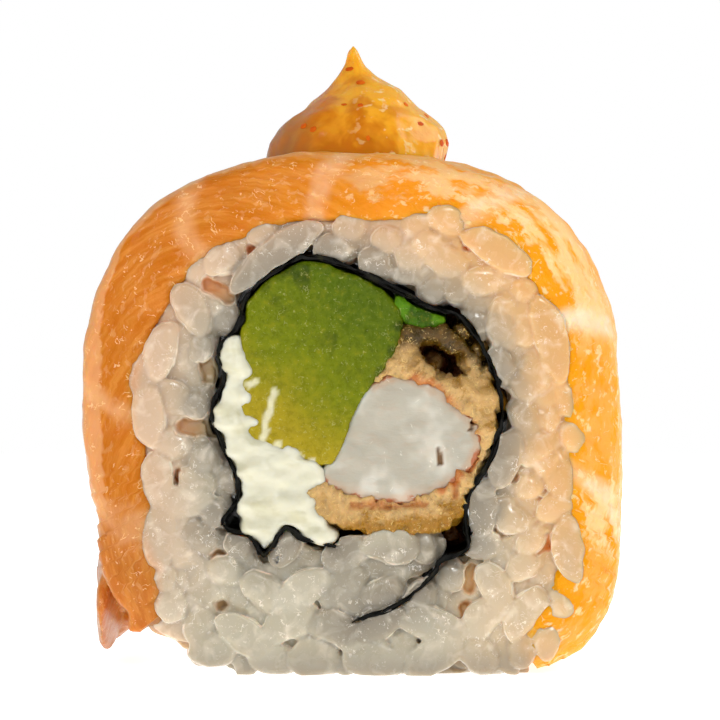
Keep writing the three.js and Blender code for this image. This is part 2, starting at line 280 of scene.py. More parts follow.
class SauceLook(bpy.types.PropertyGroup):
    """The dab of sauce"""

    step: length("Surface step", "Distance between points of the surface", 0.2)
    lump_size: length("Lump size", "Width of the soft lumps", 3)
    lump_height: length("Lump height", "Height of the soft lumps", 0.25)
    foot_height: length("Foot height", "Height of its foot", 4)
    sink: length("Sink", "How far its foot sinks into the salmon", 1.2)
    left_side: share("Left side", "Width of its left side, beside the solid's", 1.06)
    right_side: share("Right side", "Width of its right side, beside the solid's", 0.95)
    tip_start: share("Tip start", "Where the tip starts, as a share of its height", 0.62)
    tip_least: share("Tip least", "Least width of the tip's right side, beside the solid's", 0.6)
    tip_squeeze: share("Tip squeeze", "How fast its right side grows narrower towards the tip", 1.9)
    height: share("Height", "Its height, beside the solid's", 0.985)
    lean: length("Lean", "How far its foot lies to the left of where it was piped", 0.7)
    specks: count("Specks", "How many specks of spice show", 34)
    speck_size: length("Speck size", "Width of a speck of spice", 0.9)
    seed: count("Seed", "Start of the random draws", 3)
    sauce: colour("Sauce", "The sauce", 208, 120, 0)
    # Painted light and shade: brighter towards the light and at the tip, darker on the shaded side.
    bright: colour("Bright", "Thin and lit places", 246, 174, 36)
    painted_shade: colour("Dull", "The dull side", 164, 108, 58)
    # Painted highlights: pale places on the lit side.
    glint: colour("Glint", "Pale wet places", 255, 224, 160)
    spice: colour("Spice", "Specks of spice", 228, 108, 14)
    dark_spice: colour("Dark spice", "Darker specks of spice", 204, 82, 8)


class StageLook(bpy.types.PropertyGroup):
    """Camera, floor and light"""

    frame_width: length("Frame width", "What the picture is wide, at the front cut face", 68.4)
    distance: length("Distance", "From the camera to the front cut face", 300)
    aim_x: length("Aim across", "Middle of the picture, across", 0.86)
    aim_z: length("Aim height", "Middle of the picture, above the table", 30)
    ambient: share("Ambient", "Strength of the even light from above and behind", 0.5)
    front_ambient: share("Front ambient", "Strength of the even light from the camera's side", 0.32)


class UramakiLooks(bpy.types.PropertyGroup):
    """All settings of the slice"""

    salmon: PointerProperty(type=SalmonLook)
    rice: PointerProperty(type=RiceLook)
    nori: PointerProperty(type=NoriLook)
    avocado: PointerProperty(type=AvocadoLook)
    cream: PointerProperty(type=CreamLook)
    prawn: PointerProperty(type=PrawnLook)
    batter: PointerProperty(type=BatterLook)
    sauce: PointerProperty(type=SauceLook)
    stage: PointerProperty(type=StageLook)


# Meshes

def new_piece(name, mesh):
    piece = bpy.data.objects.new(name, mesh)
    bpy.context.scene.collection.objects.link(piece)
    return piece


@contextmanager
def editing(mesh):
    """The mesh opened for editing, and written back at the end."""
    edit = bmesh.new()
    edit.from_mesh(mesh)
    yield edit
    edit.to_mesh(mesh)
    edit.free()


def add_ball(edit, matrix, segments=12, rings=9):
    """Adds a ball of width 1 to a mesh, then moved and stretched."""
    bmesh.ops.create_uvsphere(edit, u_segments=segments, v_segments=rings, radius=0.5, matrix=matrix)


def copy_of(node, name):
    """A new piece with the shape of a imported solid, its loose triangles joined up."""
    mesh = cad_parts[node].data.copy()
    mesh.name = name
    mesh.materials.clear()
    with editing(mesh) as edit:
        bmesh.ops.remove_doubles(edit, verts=edit.verts, dist=SAME_PLACE)
    return new_piece(name, mesh)


def make_plain(piece):
    """Turns what the piece's modifiers show into its plain mesh."""
    shown = piece.evaluated_get(bpy.context.evaluated_depsgraph_get())
    mesh = bpy.data.meshes.new_from_object(shown)
    piece.modifiers.clear()
    piece.data = mesh
    mesh.name = piece.name


def skin_over(piece, step, smoothing=3):
    """Gives the piece one closed, even surface."""
    skin = piece.modifiers.new("Skin", "REMESH")
    skin.mode = "VOXEL"
    skin.voxel_size = step
    skin.use_smooth_shade = True
    soften = piece.modifiers.new("Soften", "SMOOTH")
    soften.factor = 0.5
    soften.iterations = smoothing
    make_plain(piece)


def places_of(mesh):
    flat = np.empty(len(mesh.vertices) * 3, np.float32)
    mesh.vertices.foreach_get("co", flat)
    return flat.reshape(-1, 3).astype(float)


def facing_of(mesh):
    flat = np.empty(len(mesh.vertices) * 3, np.float32)
    mesh.vertex_normals.foreach_get("vector", flat)
    return flat.reshape(-1, 3).astype(float)


def move_to(mesh, places):
    mesh.vertices.foreach_set("co", places.astype(np.float32).ravel())
    mesh.update()


def push_out(mesh, heights):
    """Moves every point along its normal."""
    move_to(mesh, places_of(mesh) + facing_of(mesh) * np.reshape(heights, (-1, 1)))


def keep_numbers(mesh, name, values):
    attribute = mesh.attributes.new(name, "FLOAT", "POINT")
    attribute.data.foreach_set("value", np.asarray(values, np.float32))


def keep_vectors(mesh, name, values):
    attribute = mesh.attributes.new(name, "FLOAT_VECTOR", "POINT")
    attribute.data.foreach_set("vector", np.asarray(values, np.float32).ravel())


def bumps(places, size, octaves=2, stretch=(1, 1, 1)):
    """Even noise from about -1 to 1 at each place, with bumps about one size across."""
    scaled = places / (size * np.array(stretch))
    return np.array([noise.fractal(Vector(p), 1.0, 2.0, octaves) for p in scaled])


def surface_of(node):
    """A solid's surface, to measure distances from."""
    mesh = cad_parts[node].data
    corners = [vertex.co.copy() for vertex in mesh.vertices]
    return BVHTree.FromPolygons(corners, [tuple(face.vertices) for face in mesh.polygons])


def nearness(places, node, reach):
    """1 at a solid's surface, falling to 0 at a distance of reach."""
    surface = surface_of(node)
    distances = np.array([surface.find_nearest(p)[3] for p in places])
    return np.clip(1 - distances / reach, 0, 1)


def hand_over(piece, finish, slot, *nodes):
    """Dresses a finished piece and sets it in the frame."""
    piece.data.materials.clear()
    piece.data.materials.append(finish)
    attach(piece, BODY)
    if nodes:
        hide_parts(*nodes)


# Marks in the front cut

PIXEL = 0.095  # millimetres of the front cut to one pixel of the photograph
ORIGIN_PIXEL = (351, 676)  # where the frame's origin is in the photograph
MARK_WOBBLE = 0.5  # how far the edges of marks waver, as a share of half their width
MARK_CORE = 0.7  # up to this share of half its width a mark is full
MARK_END = 1.2  # and at this share it ends
# The avocado's lower end is narrower than its solid: where, by how much and how far round it.
NARROW_MIDDLE = (380, 415)  # pixels
NARROW_SHIFT = 1.7  # millimetres
NARROW_REACH = 5.5  # millimetres


def in_cut(across, down):
    """Where a pixel of the photograph lies in the front cut, in millimetres across and up."""
    return (across - ORIGIN_PIXEL[0]) * PIXEL, (ORIGIN_PIXEL[1] - down) * PIXEL


def in_marks(places, marks, width):
    """1 inside long marks of the front cut, falling to 0 at their edges.

    A mark is its middle across and down and its length in pixels, and its turn in degrees.
    """
    wobble = MARK_WOBBLE * bumps(places * (1, 0, 1), width, 2)
    covered = np.zeros(len(places))
    for across, down, long, turn in marks:
        x, z = in_cut(across, down)
        way = math.radians(turn)
        right, up = places[:, 0] - x * MM, places[:, 2] - z * MM
        lengthways = np.abs(right * math.cos(way) + up * math.sin(way))
        sideways = np.abs(up * math.cos(way) - right * math.sin(way))
        past_end = np.maximum(lengthways - (long * PIXEL * MM - width) / 2, 0)
        away = np.hypot(past_end, sideways) / (width / 2) + wobble
        covered = np.maximum(covered, np.clip((MARK_END - away) / (MARK_END - MARK_CORE), 0, 1))
    return covered * (places[:, 1] < 0)


def narrowed(places):
    """The places with the border between avocado and prawn drawn to the left."""
    x, z = in_cut(*NARROW_MIDDLE)
    away = np.hypot(places[:, 0] - x * MM, places[:, 2] - z * MM)
    drawn = NARROW_SHIFT * MM * np.exp(-(away / (NARROW_REACH * MM)) ** 2)
    return places - np.array([1, 0, 0]) * drawn[:, None]


# Materials

class Nodes:
    """A node tree, with short calls for the nodes that the finishes use."""

    def __init__(self, tree):
        self.tree = tree

    def feed(self, socket, value):
        if isinstance(value, bpy.types.NodeSocket):
            self.tree.links.new(value, socket)
        elif socket.type == "RGBA" and len(value) == 3:
            socket.default_value = (*value, 1)
        else:
            socket.default_value = value

    def add(self, kind, inputs=(), **settings):
        made = self.tree.nodes.new(kind)
        for name, value in settings.items():
            setattr(made, name, value)
        for name, value in dict(inputs).items():
            self.feed(made.inputs[name], value)
        return made

    def object_place(self):
        return self.add("ShaderNodeTexCoord").outputs["Object"]

    def number(self, name):
        return self.add("ShaderNodeAttribute", attribute_name=name).outputs["Fac"]

    def vector(self, name):
        return self.add("ShaderNodeAttribute", attribute_name=name).outputs["Vector"]

    def parts(self, vector):
        return self.add("ShaderNodeSeparateXYZ", {"Vector": vector}).outputs

    def joined(self, across, deep, up):
        inputs = {"X": across, "Y": deep, "Z": up}
        return self.add("ShaderNodeCombineXYZ", inputs).outputs[0]

    def stretched(self, vector, sizes):
        """The vector counted in sizes, one for each direction."""
        scale = tuple(1 / size for size in sizes)
        inputs = {0: vector, 1: scale}
        return self.add("ShaderNodeVectorMath", inputs, operation="MULTIPLY").outputs[0]

    def grain(self, vector, size=1.0, detail=2.0, roughness=0.5, distortion=0.0):
        inputs = {"Vector": vector, "Scale": 1 / size, "Detail": detail}
        inputs |= {"Roughness": roughness, "Distortion": distortion}
        return self.add("ShaderNodeTexNoise", inputs).outputs["Fac"]

    def math(self, operation, first, second=0.0):
        made = self.add("ShaderNodeMath", operation=operation)
        self.feed(made.inputs[0], first)
        self.feed(made.inputs[1], second)
        return made.outputs[0]

    def plus(self, first, second):
        return self.math("ADD", first, second)

    def times(self, first, second):
        return self.math("MULTIPLY", first, second)

    def apart(self, first, second):
        """How far two values are from each other."""
        return self.math("ABSOLUTE", self.math("SUBTRACT", first, second))

    def span(self, value, low, high, start=0.0, end=1.0):
        """Maps low..high to start..end with soft ends."""
        inputs = {"Value": value, "From Min": low, "From Max": high, "To Min": start, "To Max": end}
        return self.add("ShaderNodeMapRange", inputs, interpolation_type="SMOOTHSTEP").outputs["Result"]

    def mix(self, factor, first, second, blend="MIX"):
        made = self.add("ShaderNodeMix", data_type="RGBA", blend_type=blend)
        for socket, value in zip((made.inputs[0], made.inputs[6], made.inputs[7]), (factor, first, second)):
            self.feed(socket, value)
        return made.outputs[2]

    def strokes(self, vector, size, width, cover):
        """Short curved lines: the contours of a soft noise, where another noise lets them through."""
        level = self.grain(vector, size, 1)
        away = self.apart(level, 0.5)
        line = self.span(away, width * 0.4, width, 1, 0)
        shown = self.span(self.grain(vector, size * 1.7, 2, distortion=0.5), cover, cover + 0.06)
        return self.times(line, shown)

    def bump(self, height, strength, depth, under=None):
        inputs = {"Height": height, "Strength": strength, "Distance": depth}
        if under:
            inputs["Normal"] = under
        return self.add("ShaderNodeBump", inputs).outputs["Normal"]


def new_finish(name, **sockets):
    """A material with its shader's fixed values set, the nodes of its tree, and the shader."""
    material = bpy.data.materials.new(name)
    material.use_nodes = True
    nodes = Nodes(material.node_tree)
    shader = material.node_tree.nodes["Principled BSDF"]
    for socket, value in sockets.items():
        nodes.feed(shader.inputs[socket.replace("_", " ")], value)
    return material, nodes, shader


def shine_through(radii, weight=1.0):
    """Shader values for flesh that lets light in; radii are in millimetres for red, green and blue."""
    return {
        "Subsurface_Weight": weight,
        "Subsurface_Radius": tuple(radii),
        "Subsurface_Scale": MM,
    }


# Geometry Nodes

def new_tree(name, inputs):
    """A Geometry Nodes tree with named inputs, its nodes, what it is given, and the inputs' sockets."""
    tree = bpy.data.node_groups.new(name, "GeometryNodeTree")
    tree.is_modifier = True
    sockets = {}
    for label, kind in {"Geometry": "Geometry", **inputs}.items():
        sockets[label] = tree.interface.new_socket(label, in_out="INPUT", socket_type="NodeSocket" + kind)
    tree.interface.new_socket("Geometry", in_out="OUTPUT", socket_type="NodeSocketGeometry")
    nodes = Nodes(tree)
    return tree, nodes, nodes.add("NodeGroupInput").outputs, sockets


def finish_tree(nodes, laid, material):
    """Ends a tree: what was laid becomes plain geometry with its material."""
    real = nodes.add("GeometryNodeRealizeInstances", {"Geometry": laid}).outputs[0]
    dressed = nodes.add("GeometryNodeSetMaterial", {"Geometry": real, "Material": material}).outputs[0]
    nodes.add("NodeGroupOutput", {"Geometry": dressed})


def grow(piece, tree, sockets, values):
    """Runs a tree on a piece, and leaves what it makes as the piece's plain mesh."""
    modifier = piece.modifiers.new(tree.name, "NODES")
    modifier.node_group = tree
    for label, value in values.items():
        modifier[sockets[label].identifier] = value
    make_plain(piece)


# Salmon

FAT_LINE_ANGLES = (-20, 18, 52, 91, 123, 171, 195)  # degrees round the roll, at the front outside
FAT_LINE_LEAN = 0.7  # they shift along the slice by this share of the depth into it
FAT_LINE_SLANT = 0.3  # and by this share of the way from front to back
FAT_LINE_MIDDLE = 1.5 * MM  # half of what the wobble adds to their places
LIT_ACROSS = (-16 * MM, 20 * MM)  # painted light and shade: from the shaded side of the slice to the side towards the light
FILM_HEIGHTS = (42 * MM, 26 * MM)  # from the first height down to the second,
FILM_GROWTH = 1.2 * MM  # the film of fat under the outside grows broader by this much
FIBRE_LEAN = 0.35  # the fibres cross the slice by this share of their length
PAINTED_SHEEN_ANGLES = ((16, 92), (-28, -12))  # where the outside gets its painted sheen on the side towards the light
FLAP_ANGLES = (196, 210)  # where the flesh is painted darker towards the flap, as painted shade
# The hanging ends at the left: the middle across and down, the length and the width
# in pixels, the turn in degrees, and where the end starts and stops from front to back, in millimetres.
STRIP = (143, 588, 92, 27, 87, -13.6, 13.4)
FLAP = (99, 600, 128, 24, 86, -11.5, 13.5)
WAIST_HEIGHT = 14.2  # millimetres above the table, where the left side draws in most
WAIST_SPREAD = 4.6  # how far up and down from there it draws in
WAIST_DEPTH = 5  # and how far under the outside
ROUNDER_RIGHT = 0.5  # the outer edges are rounder at the right and sharper at the left by this share
RIPPLE_STRETCH = (1.5, 0.8, 1.5)  # how long the wet ripples are in each direction, beside their size


def arc(degrees):
    """A turn round the roll, as a length along it."""
    return math.radians(degrees) * ROLL_RADIUS


def salmon_finish(look):
    finish, nodes, shader = new_finish(
        "Salmon flesh", Roughness=0.32, Specular_IOR_Level=0.1, Coat_Weight=0.15, Coat_Roughness=0.08,
        **shine_through((2.0, 0.8, 0.2), 0.7)
    )
    flesh = nodes.vector("flesh")
    along, inside, deep = nodes.parts(flesh)
    place = nodes.object_place()
    across, behind, up = nodes.parts(place)
    # Painted light and shade: the flesh is painted brighter towards the side of the light.
    lit = nodes.span(across, *LIT_ACROSS)
    oblique = nodes.plus(inside, nodes.times(along, FIBRE_LEAN))
    grown = nodes.joined(along, oblique, deep)
    fibres = nodes.grain(nodes.stretched(grown, (7 * MM, 0.5 * MM, 0.7 * MM)), detail=4, roughness=0.6)
    streaks = nodes.grain(nodes.stretched(flesh, (4 * MM, 1.1 * MM, 1.5 * MM)), detail=3, roughness=0.6)
    shaded = nodes.mix(nodes.span(fibres, 0.35, 0.75, 0.0, 0.7), look.flesh, look.fibre)
    # Painted sheen: the outside on the lit side is painted pale in frayed patches, for light reflected off
    # the wet flesh.
    shreds = nodes.grain(nodes.stretched(flesh, (2.4 * MM, 0.7 * MM, 1 * MM)), detail=4, roughness=0.65)
    frayed = nodes.plus(inside, nodes.times(shreds, 4.5 * MM))
    outside = nodes.span(frayed, 6.0 * MM, 6.6 * MM, 1, 0)
    wet = nodes.mix(nodes.span(streaks, 0.44, 0.64), look.wet, look.painted_lit_flesh)
    waver = nodes.plus(along, nodes.span(streaks, 0, 1, -3 * MM, 3 * MM))
    pale = 0.25
    for start, end in PAINTED_SHEEN_ANGLES:
        away = nodes.apart(waver, arc((start + end) / 2))
        patch = nodes.span(away, arc((end - start) * 0.4), arc((end - start) * 0.55), 1, 0)
        pale = nodes.math("MAXIMUM", patch, pale)
    bright = nodes.mix(nodes.times(outside, pale), look.painted_lit_flesh, wet)
    tint = nodes.mix(lit, shaded, bright)

    lean = nodes.times(inside, -FAT_LINE_LEAN)
    slant = nodes.times(deep, FAT_LINE_SLANT)
    wobble = nodes.times(nodes.grain(place, 5 * MM, 2), 2 * FAT_LINE_MIDDLE)
    shifted = nodes.plus(nodes.plus(along, lean), nodes.plus(slant, wobble))
    fat = 0.0
    for angle in FAT_LINE_ANGLES:
        away = nodes.apart(shifted, arc(angle) + FAT_LINE_MIDDLE)
        line = nodes.span(away, look.fat_width * 0.1, look.fat_width * 0.9, 1, 0)
        fat = nodes.math("MAXIMUM", line, fat)
    faint = nodes.span(nodes.grain(place, 3 * MM, 2), 0.3, 0.65, 0.3, 0.85)
    # Painted light: the fat lines are painted paler on the side towards the light.
    tint = nodes.mix(nodes.times(fat, faint), tint, nodes.mix(lit, look.fat, look.painted_lit_fat))

    ragged = nodes.plus(inside, nodes.times(nodes.grain(place, 4 * MM, 2), 1.6 * MM))
    ragged = nodes.math("SUBTRACT", ragged, nodes.span(up, *FILM_HEIGHTS, 0, FILM_GROWTH))
    film = nodes.times(nodes.span(ragged, 1.7 * MM, 2.0 * MM, 0.65, 0), nodes.span(lit, 0, 0.5, 1, 0))
    from_cut = nodes.math("SUBTRACT", BACK, nodes.math("ABSOLUTE", behind))
    film = nodes.times(film, nodes.span(from_cut, 2 * MM, 5 * MM, 1, 0.2))
    tint = nodes.mix(film, tint, look.fat)
    # Painted light: the flesh just under the outside is painted brighter on the lit side, as if lit through
    # from behind.
    rim = nodes.times(nodes.span(inside, 0.4 * MM, 1.8 * MM, 0.9, 0), lit)
    tint = nodes.mix(rim, tint, look.painted_lit_flesh)
    # Painted shade: the flesh is painted darker towards the flap, most near its outside.
    flap = nodes.span(along, arc(FLAP_ANGLES[0]), arc(FLAP_ANGLES[1]))
    tint = nodes.mix(nodes.times(flap, nodes.span(inside, 1 * MM, 4 * MM, 1, 0.2)), tint, look.flap)
    # Painted highlights: pale specks and short lines for glints of light, more on the lit side and near the
    # cut.
    glints = nodes.grain(nodes.stretched(flesh, (1.3 * MM, 0.5 * MM, 0.7 * MM)), detail=3, roughness=0.6)
    specks = nodes.times(nodes.span(glints, 0.56, 0.66), nodes.span(lit, 0, 1, 0.15, 0.8))
    specks = nodes.times(specks, nodes.span(from_cut, 3 * MM, 7 * MM, 1, 0.3))
    painted_glint_lines = nodes.times(nodes.strokes(flesh, 0.5 * MM, 0.04, 0.59), 0.6)
    tint = nodes.mix(nodes.math("MAXIMUM", specks, painted_glint_lines), tint, look.glint)
    nodes.feed(shader.inputs["Base Color"], tint)

    ridges = nodes.bump(fibres, 0.4, 0.25 * MM)
    beads = nodes.bump(glints, nodes.span(lit, 0, 1, 0.4, 0.8), 0.35 * MM, ridges)
    nodes.feed(shader.inputs["Normal"], beads)
    nodes.feed(shader.inputs["Coat Normal"], beads)
    return finish


def angle_round_roll(places):
    """Radians from +X round the roll, from -90 to 270 degrees."""
    turns = np.arctan2(places[:, 2] - ROLL_MIDDLE.z, places[:, 0])
    return np.where(turns < -math.pi / 2, turns + 2 * math.pi, turns)


def depths_in_slice(places, bins=120):
    """How far each place lies under the outside and over the inside of the slice, along the radius."""
    turns = angle_round_roll(places)
    radii = np.hypot(places[:, 0], places[:, 2] - ROLL_MIDDLE.z)
    steps = ((turns + math.pi / 2) / (2 * math.pi) * bins).astype(int) % bins
    outside = np.zeros(bins)
    inside = np.full(bins, np.inf)
    np.maximum.at(outside, steps, radii)
    np.minimum.at(inside, steps, radii)
    return np.maximum(outside[steps] - radii, 0), np.maximum(radii - inside[steps], 0)


def rounded_off(depths, radii):
    """How far a face falls away towards an edge that is rounded with these radii."""
    bite = np.clip(1 - depths / radii, 0, 1)
    return radii * (1 - np.sqrt(1 - bite ** 2))


def hanging_end(across, down, long, wide, turn, front, back):
    """Where a hanging end lies, and its size."""
    x, z = in_cut(across, down)
    size = Matrix.Diagonal((long * PIXEL * MM, (back - front) * MM, wide * PIXEL * MM, 1))
    turned = Matrix.Rotation(-math.radians(turn), 4, "Y")
    return Matrix.Translation(Vector((x, (front + back) / 2, z)) * MM) @ turned @ size


def add_ends(piece):
    """Adds the two hanging ends to the slice."""
    with editing(piece.data) as edit:
        bmesh.ops.create_cube(edit, matrix=hanging_end(*STRIP))
        add_ball(edit, hanging_end(*FLAP), segments=24, rings=16)


def make_salmon(look):
    salmon = copy_of("salmon_slice", "salmon")
    add_ends(salmon)
    skin_over(salmon, look.step, smoothing=4)
    mesh = salmon.data
    places = places_of(mesh)
    under, over = depths_in_slice(places)
    to_the_right = places[:, 0] / ROLL_RADIUS
    by_rice = np.clip(1 - over / look.inner_zone, 0, 1)
    rounding = look.edge_rounding * (1 + ROUNDER_RIGHT * to_the_right)
    fall = rounded_off(under, rounding) - look.edge_proud * by_rice
    places[:, 1] *= 1 - fall / ((BACK - FRONT) / 2)
    outward = places * (1, 0, 1) - np.array(ROLL_MIDDLE)
    outward /= np.linalg.norm(outward, axis=1)[:, None]
    places -= outward * (look.swell * by_rice)[:, None]
    waist = np.exp(-((places[:, 2] / MM - WAIST_HEIGHT) / WAIST_SPREAD) ** 2)
    waist *= np.clip(1 - under / (WAIST_DEPTH * MM), 0, 1)
    places[:, 0] += look.waist * waist * (to_the_right < 0)
    move_to(mesh, places)
    lumps = bumps(places, look.lump_size, 3) * look.lump_height
    ripples = bumps(places, look.ripple_size, 2, RIPPLE_STRETCH) * look.ripple_height
    push_out(mesh, lumps + ripples)
    places = places_of(mesh)
    along = angle_round_roll(places) * ROLL_RADIUS
    keep_vectors(mesh, "flesh", np.stack([along, under, places[:, 1] - FRONT], axis=1))
    hand_over(salmon, salmon_finish(look), "salmon", "salmon_slice")


# Rice

# The grains that show best in the front cut: their middle across and down and their length in pixels,
# and their turn in degrees.
FRONT_GRAINS = (
    (273, 256, 116, 37), (267, 231, 46, 15), (226, 257, 54, 33), (193, 267, 28, 0), (192, 310, 62, -58),
    (210, 305, 30, -40), (227, 320, 29, 0), (202, 343, 44, 75), (160, 350, 62, 70), (142, 372, 58, 85),
    (200, 402, 46, 50), (178, 402, 54, -60), (147, 416, 66, 96), (178, 446, 54, -20), (206, 456, 46, 45),
    (231, 477, 31, 80), (204, 479, 42, 70), (157, 483, 62, 100), (184, 501, 62, 10), (217, 511, 42, 50),
    (158, 537, 70, 88), (204, 538, 56, -20), (243, 546, 50, -22), (286, 544, 54, 55), (182, 553, 58, -50),
    (230, 574, 54, -35), (169, 599, 54, 100), (201, 622, 54, 60), (244, 634, 66, -35), (267, 594, 60, -40),
    (301, 590, 64, 40), (273, 652, 58, -10), (316, 654, 60, 0), (215, 646, 60, 5), (290, 622, 62, 25),
    (338, 628, 64, -15), (350, 552, 60, 20), (392, 546, 64, -5), (426, 545, 44, 60), (345, 586, 60, 35),
    (388, 594, 56, 0), (452, 574, 40, 70), (425, 597, 46, 0), (379, 624, 62, 30), (433, 625, 70, -10),
    (374, 655, 62, -5), (433, 653, 64, 30), (355, 222, 50, 20), (338, 249, 54, -5), (389, 240, 42, -30),
    (378, 268, 52, -45), (415, 260, 46, -20), (437, 247, 54, -12), (418, 224, 32, 0), (453, 223, 56, -30),
    (498, 251, 84, -30), (450, 262, 58, -25), (488, 281, 56, -5), (457, 288, 40, 40), (435, 292, 36, -30),
    (524, 290, 29, 0), (524, 315, 35, 85), (478, 321, 48, 70), (505, 335, 58, -60), (551, 338, 92, -76),
    (504, 370, 54, -55), (537, 366, 58, 82), (525, 414, 58, 95), (541, 394, 44, 100), (569, 396, 50, 95),
    (573, 430, 52, 95), (546, 440, 56, 30), (535, 453, 44, 5), (504, 459, 68, 72), (529, 486, 36, 85),
    (560, 472, 60, 90), (481, 505, 62, 85), (505, 503, 44, 70), (562, 505, 58, 20), (522, 522, 54, -10),
    (538, 538, 54, 30), (568, 550, 72, 97), (489, 545, 54, 10), (529, 562, 54, 30), (496, 588, 62, -60),
    (524, 612, 62, 55), (560, 597, 50, 90), (484, 616, 62, 45), (525, 645, 48, 60), (484, 654, 56, -30),
    (548, 634, 52, 70), (404, 640, 44, 80), (356, 604, 38, 30), (160, 572, 44, 92),
    (508, 306, 44, 10), (524, 382, 44, 80), (547, 412, 48, 85), (528, 338, 44, -60), (548, 462, 40, 60),
    (182, 524, 40, 15), (192, 478, 40, 40),
)
# The gaps between them, as marks in the front cut.
FRONT_GAPS = (
    (218, 291, 38, -35), (258, 250, 24, 30), (207, 369, 30, -60), (198, 428, 42, -10), (181, 478, 18, -30),
    (219, 557, 18, -10), (222, 606, 14, -20),
    (470, 580, 30, 85), (466, 612, 22, -60), (458, 665, 18, 80),
    (467, 242, 16, 20), (487, 341, 18, 60), (510, 474, 24, 75), (500, 526, 32, -45), (545, 545, 32, 15),
    (545, 612, 28, 70),
)
# The rice beside the nori and inside its tail that is painted greyest, with painted shade from the dark sheet
# behind, as marks.
GREY_RICE = ((385, 566, 120, 12), (350, 590, 70, 40), (390, 592, 70, 20), (482, 500, 80, 85))
LONG_SEEN = 66  # pixels that show of a grain that lies in front of the others
SHORT_SEEN = 30  # and of one that lies half hidden behind them
BEADS = np.array([-1.0, 0.0, 1.0])  # a loose grain is packed as three beads in a row
HELD_BEADS = np.linspace(-1, 1, 5)  # and one that is held where it shows, as five
PACKING_ROUNDS = 60
CROWDING = 0.8  # how close grains come, as a share of their width
PUSHING = 0.3  # how far crowded grains move apart in one round, as a share of their overlap
RISE_SPREAD = 0.35  # radians that loose grains turn out of the cut
END_ON = 0.2  # the share of them that turn their ends to it
END_ON_RISE = (1.2, 0.3)  # radians that these turn out of the cut, and how far that spreads
LEAST_SIZE = (0.85, 0.8, 0.8)  # width, thickness and length of loose grains, beside a plain grain's
MOST_SIZE = (1.1, 1.05, 1.2)
GAP_BEAD_DEPTHS = (0.5, 2.5)  # millimetres behind the front cut of the beads that keep gaps free
GAP_TOP = 0.6  # gaps start this far behind the whole grains, as a share of the layering
GAP_FLOOR = 1 * MM  # they are carved in full down to this depth
GAP_END = 3 * MM  # and not at all from this depth
RAY = Vector((0.31, 0.17, 0.93)).normalized()  # a direction that runs along none of the flat faces
RAY_STEP = 0.001 * MM  # past one crossing, to look for the next
RICE_LIT_ACROSS = (-6 * MM, 15 * MM)  # from the shaded side of the ring to the side towards the light
TINT_HEIGHTS = (4 * MM, 20 * MM)  # the salmon's tint, painted light shining through it, grows stronger between these heights
FOOT_SHADE_HEIGHTS = (0.3 * MM, 3.5 * MM)  # and the grey painted shade of the foot fades between these
SUNK_DEPTHS = (0.4 * MM, 2.0 * MM)  # between these depths behind a cut or the foot the gaps take their painted shade
NORI_REACH = 2.5 * MM  # grains within this distance of the nori are held back by it
OVERLAP_VARIATION = 0.5  # how much their overlap varies
OVERLAP_SIZE = 2 * MM  # and over what length
GREY_SLOPE = 3  # how fast whole grains turn grey towards the nori
GREY_START = 1.6  # what is taken off that, so that only the nearest turn
PLACE_GREY = 0.7  # how grey the rice is right beside the nori and in its grey marks
GRAIN_GREY = 0.4  # and how grey a whole grain is that touches the nori


